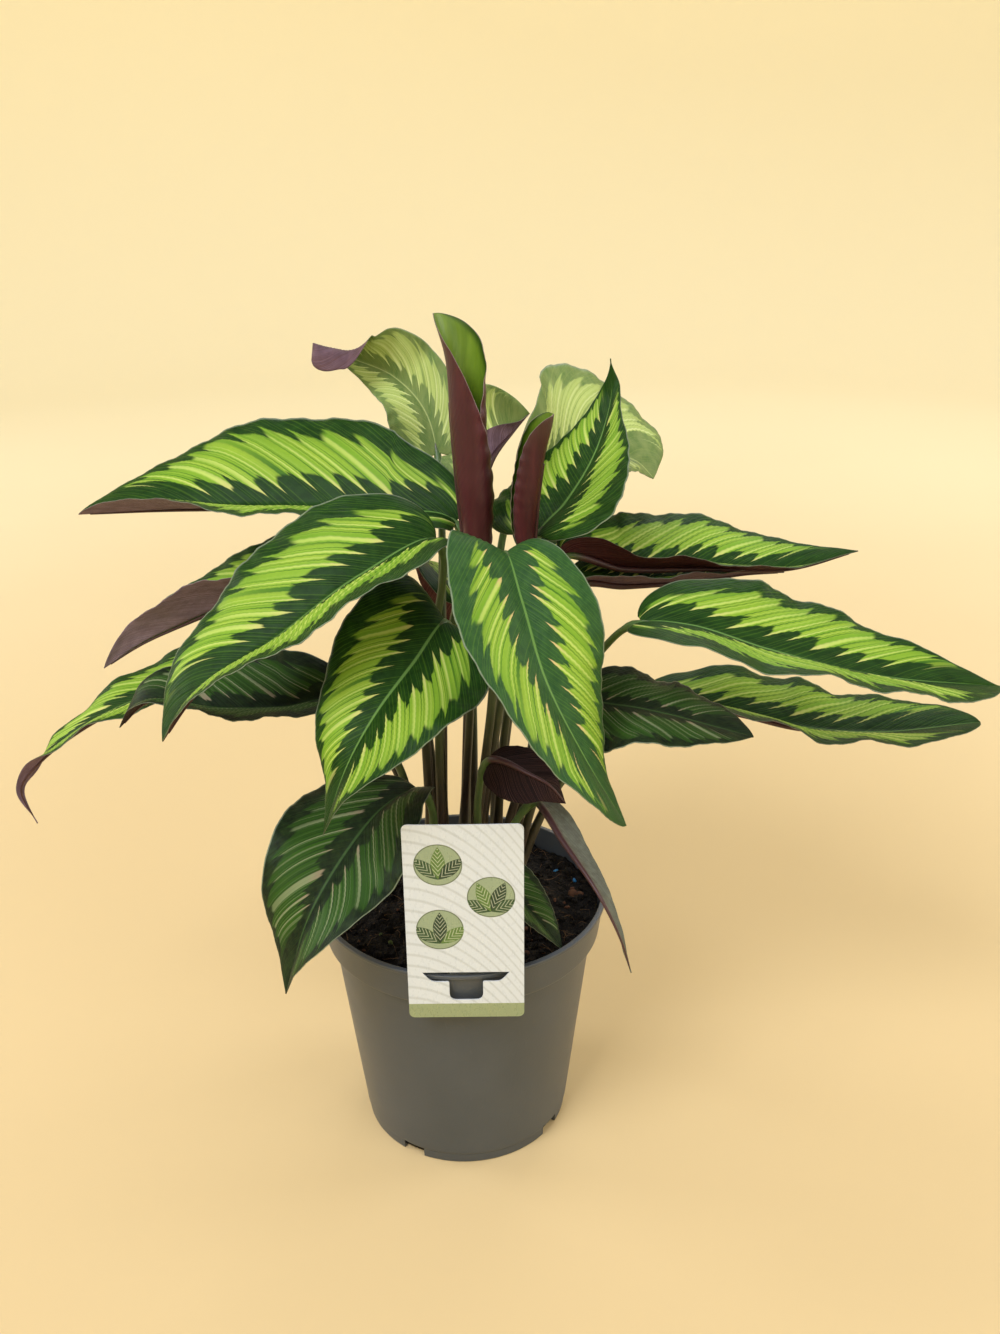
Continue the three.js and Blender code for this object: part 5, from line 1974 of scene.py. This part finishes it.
LEAVES = [
    Leaf(
        node="leaf_upper_left", root=(-9, 8), stalk=((-10, 16, 269),),
        rib=((1, 34, 368), (-41, 42, 373), (-92, 50, 373), (-156, 53, 372), (-212, 52, 370)),
        half=(44, 59), outline=((0.5, 0.75), (0.6, 0.75)), roll=(-25, -15, 10),
        fold=((23, 28, 28, 29, 31), (30, 30)), lobe=(8, 0), wave=(1.5, 3, 0.1), bloom=0.6,
    ),
    Leaf(
        node="leaf_left_front", root=(-15, -3), stalk=((-18, 0, 271),),
        rib=((-8, -10, 373), (-46, -34, 363), (-88, -54, 337), (-124, -68, 317), (-144, -76, 292)),
        half=(49, 51), outline=((0.55, 0.8), (0.5, 0.8)), roll=(-15, -5, 5), fold=((25, 20), (25, 25)),
        lobe=(6, 5), wave=(1.5, 3, 0.3),
    ),
    Leaf(
        node="leaf_centre_front", root=(3, -12), stalk=((18, -8, 268),),
        rib=((27, -22, 370), (35, -50, 354), (46, -80, 324), (64, -98, 292), (84, -108, 260)),
        half=(37, 46), outline=((0.5, 0.95), (0.3, 0.65)), roll=(5, -10, -15), fold=((15, 5), (30, -5)),
        lobe=(9, 17), wave=(1.5, 2.5, 0.6), tone=Tone.WARM,
    ),
    Leaf(
        node="leaf_left_centre", root=(-9, -12), stalk=((-10, -14, 259),),
        rib=((-4, -30, 336), (-20, -54, 323), (-38, -78, 306), (-51, -92, 286), (-64, -100, 252)),
        half=(43, 42), outline=((0.5, 1.1), (0.3, 1.1)), roll=(-25, -10, 5), fold=((0, 15), (10, 10)),
        lobe=(15, 20), wave=(2, 2.5, 0.2),
    ),
    Leaf(
        node="leaf_back_left", root=(-12, 18), stalk=((-10, 58, 289),),
        rib=((-12, 106, 388), (-20, 117, 413), (-38, 124, 431), (-60, 124, 441), (-83, 116, 452)),
        half=(27, 29), outline=((0.55, 1.5), (0.4, 0.2)), roll=(-20, -24, -45, -64),
        fold=((8, 0), (20, 20, 25, 36, 52, 66, 78, 85)), curl=((0, 0), (0, 0, 0, 0, 10, 50, 120, 160)),
        lobe=(8, 7), wave=(1.5, 3, 0), bloom=0.3, tone=Tone.PAINTED_BACKLIGHT,
    ),
    Leaf(
        node="leaf_upper_right", root=(8, 6), stalk=((30, 10, 308),),
        rib=((44, 10, 368), (60, 24, 382), (75, 42, 400), (83, 54, 417), (87, 62, 434), (86, 66, 451)),
        half=(53, 44), outline=((0.4, 1.55), (0.5, 1.55)), roll=(5, -15, -25), fold=((-5, 12), (10, 20)),
        lobe=(15, 0), wave=(1.5, 2, 0.4),
    ),
    Leaf(
        node="leaf_back_right", root=(20, 19), stalk=((24, 60, 337), (32, 68, 371)),
        rib=((38, 76, 382), (60, 90, 386), (84, 98, 389), (105, 100, 384), (116, 98, 374)),
        half=(58, 45), outline=((0.55, 0.5), (0.5, 0.85)), roll=(35, 15, 0), fold=((65, 15), (5, 5)),
        lobe=(7, 8), wave=(2, 2.5, 0.1), tone=Tone.PAINTED_BACKLIGHT,
    ),
    Leaf(
        node="leaf_right_upper", root=(20, 8), stalk=((31, 18, 280),),
        rib=((60, 28, 351), (94, 31, 343), (139, 34, 341), (187, 36, 339), (224, 36, 349)),
        half=(46, 21), outline=((0.5, 1), (0.5, 1)), roll=(-2, 0, 0), fold=((26, 24), (60, 34, 24, 24)),
        lobe=(7, 8), wave=(1.5, 3.5, 0.5),
    ),
    Leaf(
        node="leaf_right_middle", root=(29, 9), stalk=((45, 18, 255),),
        rib=((68, 33, 332), (95, 36, 331), (132, 40, 331), (163, 42, 334), (185, 41, 335)),
        half=(29, 21), outline=((0.55, 0.9), (0.45, 1)), roll=(10, 0, -5), fold=((18, 14), (38, 31, 30)),
        lobe=(7, 9), wave=(1.5, 3, 0.2), bloom=0.45,
    ),
    Leaf(
        node="leaf_right_front", root=(17, -4), stalk=((45, 3, 250), (79, 5, 303)),
        rib=((97, -20, 330), (123, -27, 331), (164, -33, 319), (223, -32, 303), (290, -24, 293)),
        half=(43, 45), outline=((0.65, 1.15), (0.4, 0.6)), roll=(5, 5, 25), fold=((25, 25), (10, 25)),
        lobe=(10, 7), wave=(2.5, 4, 0.1),
    ),
    Leaf(
        node="leaf_right_low", root=(30, 0), stalk=((55, 10, 213), (93, 24, 251)),
        rib=((108, 30, 259), (156, 29, 255), (198, 25, 245), (244, 23, 242), (302, 23, 248)),
        half=(40, 36), outline=((0.5, 0.55), (0.5, 0.55)), roll=(-10, 0, 5), fold=((30, 5), (20, 15)),
        lobe=(6, 8), wave=(3, 4, 0.3), bloom=0.8,
    ),
    Leaf(
        node="leaf_right_lower", root=(27, -9), stalk=((44, -7, 223),),
        rib=((61, -20, 283), (87, -28, 286), (111, -35, 284), (137, -39, 278), (157, -41, 273)),
        half=(35, 38), outline=((0.45, 0.7), (0.5, 1)), roll=(15, 0, 10), fold=((5, 5), (-10, 5)),
        wave=(2, 3, 0.5), tone=Tone.OLD_AND_SHADED,
    ),
    Leaf(
        node="leaf_left_middle", root=(-19, 7), stalk=((-22, 18, 268), (-50, 24, 342)),
        rib=((-66, 26, 353), (-109, 32, 331), (-152, 34, 312), (-180, 33, 299), (-203, 30, 285)),
        half=(31, 30), outline=((0.5, 0.85), (0.45, 0.9)), roll=(-35, -15, -5),
        fold=((55, 75), (20, 30)), wave=(1.5, 3, 0.7), bloom=0.9,
    ),
    Leaf(
        node="leaf_left_low", root=(-26, -4), stalk=((-33, -2, 234),),
        rib=((-62, -4, 279), (-97, -10, 278), (-131, -16, 281), (-164, -20, 288), (-182, -22, 273)),
        half=(34, 40), outline=((0.5, 0.85), (0.55, 0.9)), roll=(-15, -5, 5), fold=((25, 20), (25, 20)),
        lobe=(8, 1), wave=(2, 3, 0.4), tone=Tone.OLD_AND_SHADED,
    ),
    Leaf(
        node="leaf_left_lowest", root=(-29, 6), stalk=((-40, 14, 232),),
        rib=(
            (-127, 24, 289), (-169, 18, 276), (-203, 10, 264),
            (-238, 2, 240), (-250, -2, 224), (-243, -4, 203),
        ),
        half=(24, 25), outline=((0.5, 1.6), (0.45, 1.5)), roll=(-10, -5, -5, 0, 5, 50, 90),
        fold=((18, 14, 14, 16), (15, 8)), wave=(2, 4, 0.2), face=(-0.7, -0.2, 0.7), bloom=0.6,
    ),
    Leaf(
        node="leaf_over_rim_left", root=(-20, -14), stalk=((-15, -18, 217),),
        rib=((-22, -24, 234), (-39, -38, 232), (-58, -62, 219), (-76, -86, 196), (-91, -94, 151)),
        half=(38, 40), outline=((0.5, 1), (0.5, 1)), roll=(15, -20, -5), fold=((10, 20), (10, 25)),
        wave=(2, 2.5, 0.6), tone=Tone.OLD_AND_SHADED,
    ),
    Leaf(
        node="leaf_over_rim_right", root=(19, -18), stalk=((31, -22, 210),),
        rib=((43, -24, 225), (59, -54, 215), (75, -81, 201), (85, -91, 182), (91, -94, 162)),
        half=(16, 14), outline=((0.5, 0.9), (0.45, 1.2)), roll=(-115, -130, -110),
        fold=((72, 75), (72, 75)), bloom=1, tone=Tone.OLD_AND_SHADED,
    ),
    Leaf(
        node="rolled_leaf_tall", root=(-1, 15), stalk=((7, 16, 269), (9, 16, 330)),
        rib=((7, 15, 354), (3, 16, 392), (0, 18, 429), (-2, 20, 462), (-8, 22, 483)), half=(31, 36),
        outline=((0.4, 0.9), (0.4, 0.5)), lobe=(0, 0), tube=((7, 9.5, 10.5, 11), (6, 8.3, 9.3, 11.5)),
        face=(1, -0.25, 0), tone=Tone.ROLLED,
    ),
    Leaf(
        node="rolled_leaf_short", root=(5, -2), stalk=((24, 0, 277), (36, 2, 335)),
        rib=((41, 2, 362), (44, 0, 391), (48, -2, 418), (51, -3, 431), (52, -3, 437)), half=(19, 19),
        outline=((0.35, 0.35), (0.35, 0.35)), lobe=(0, 0), tube=((6, 7.2, 7.2), (5.4, 6.4, 6.4)),
        face=(-1, -0.15, 0), tone=Tone.ROLLED,
    ),
    Leaf(
        node="leaf_behind_rolled", root=(1, 27), stalk=((7, 46, 306),),
        rib=((13, 50, 381), (19, 58, 397), (25, 64, 404), (32, 70, 410), (42, 76, 419)), half=(41, 17),
        outline=((0.7, 0.5), (0.4, 1.35)), roll=(0, -50, 55), fold=((30, 30), (85, 90)), bloom=0.4,
        tone=Tone.PAINTED_BACKLIGHT,
    ),
    Leaf(
        node="leaf_low_middle", root=(13, -13), stalk=((11, -22, 226),),
        rib=((17, -28, 253), (26, -34, 255), (38, -41, 252), (49, -46, 248), (58, -48, 238)),
        half=(18, 18), outline=((0.5, 0.95), (0.5, 0.95)), roll=(-150, -150, -150), tone=Tone.OLD_AND_SHADED,
    ),
    Leaf(
        node="leaf_on_soil", root=(8, -22), stalk=((6, -26, 196),),
        rib=((11, -31, 191), (25, -40, 182), (39, -48, 169), (49, -53, 159), (57, -56, 149)),
        half=(18, 18), outline=((0.5, 0.95), (0.5, 0.95)), tone=Tone.OLD_AND_SHADED,
    ),
    Leaf(
        node="leaf_rear_left", root=(-12, 29), stalk=((-26, 58, 285),),
        rib=((-36, 84, 330), (-54, 114, 334), (-72, 146, 318), (-86, 172, 290), (-92, 186, 262)),
        half=(38, 38), outline=((0.5, 0.95), (0.5, 0.95)), fold=((20, 10), (20, 10)), wave=(2, 3, 0.3),
    ),
    Leaf(
        node="leaf_rear_middle", root=(6, 37), stalk=((7, 70, 245),),
        rib=((4, 92, 298), (4, 126, 303), (4, 164, 284), (2, 194, 248), (0, 208, 218)), half=(40, 40),
        outline=((0.5, 0.95), (0.5, 0.95)), fold=((20, 10), (20, 10)), wave=(2, 3, 0.8),
    ),
    Leaf(
        node="leaf_rear_right", root=(18, 30), stalk=((34, 58, 275),),
        rib=((48, 84, 332), (64, 112, 338), (82, 144, 328), (96, 170, 308), (102, 186, 286)),
        half=(34, 34), outline=((0.5, 0.95), (0.5, 0.95)), fold=((20, 10), (20, 10)), wave=(2, 3.5, 0.1),
    ),
]


def grow(leaves: list[Leaf]) -> None:
    """Builds and dresses every leaf.

    Args:
        leaves: The leaves.
    """
    finishes = {
        Tone.BRIGHT: StripedBlade("calathea_blade_bright"),
        Tone.WARM: StripedBlade(
            "calathea_blade_warm", dark="#345729", deep="#264723", tip="#cfa47c", inner=0.17
        ),
        # Painted light: pale, low-contrast colours, as if light shone through these leaves from behind.
        Tone.PAINTED_BACKLIGHT: StripedBlade(
            "calathea_blade_painted_backlight", dark="#7c8c52", deep="#5f7840", band="#b4c474", middle="#a2b360",
            line="#c9d48e", tip="#c9d48e", crease="#7f9350", rib="#a9b574", under="#4a2a28"
        ),
        # Old leaves' own duller colours, darkened further as painted shade; the nearly black lower face is
        # painted shade too, its grey painted light.
        Tone.OLD_AND_SHADED: StripedBlade(
            "calathea_blade_old_and_shaded", dark="#26361c", deep="#161f14", band="#35581c", middle="#2c4a1a",
            line="#86906a", tip="#8f7c68", crease="#22351a", rib="#3f5a30", under="#1b100e",
            grey="#6f7466", inner=0.1, depth=0.12, thread=0.075, teeth=11.0
        ),
        Tone.ROLLED: RolledBlade("calathea_blade_rolled"),
    }
    blades = {tone: finish.make() for tone, finish in finishes.items()}
    stem = LeafStem("calathea_stalk").make()
    maker = LeafMaker()
    for number, leaf in enumerate(leaves):
        leaf.seed = 1.0 + 0.371 * number
        piece = maker.build(leaf, blades[leaf.tone], stem)
        LOG.info("%s: %d faces", piece.name, len(piece.data.polygons))


def main() -> None:
    """Builds the potted calathea and its studio."""
    logging.basicConfig(level=logging.INFO, format="%(name)s: %(message)s")
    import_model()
    pot_maker = NurseryPot()
    pot = pot_maker.build(MouldedPot().make())
    LOG.info("pot: %d faces", len(pot.data.polygons))
    finishes = [
        Peat().make(),
        PlainBit("bark_composted", "#6b3f1e", "#2a180d").make(),
        PlainBit("coir_fibre", "#7a5a38", "#3a2818").make(),
        PlainBit("moss_dry", "#5c6b2a", "#2d3316").make(),
        PlainBit("fertiliser_granule_coated", "#2a8fc8", "#1b5a9c", 0.4).make(),
    ]
    soil = PottingSoil(pot_maker).build(LEAVES, finishes)
    LOG.info("soil: %d faces", len(soil.data.polygons))
    tag = HangTag(pot_maker).build(PrintedCard().make())
    LOG.info("tag: %d faces", len(tag.data.polygons))
    grow(LEAVES)
    studio = Studio()
    studio.backdrop(PaperFloor().make())
    studio.lights()
    studio.camera()


if __name__ == "__main__":
    main()
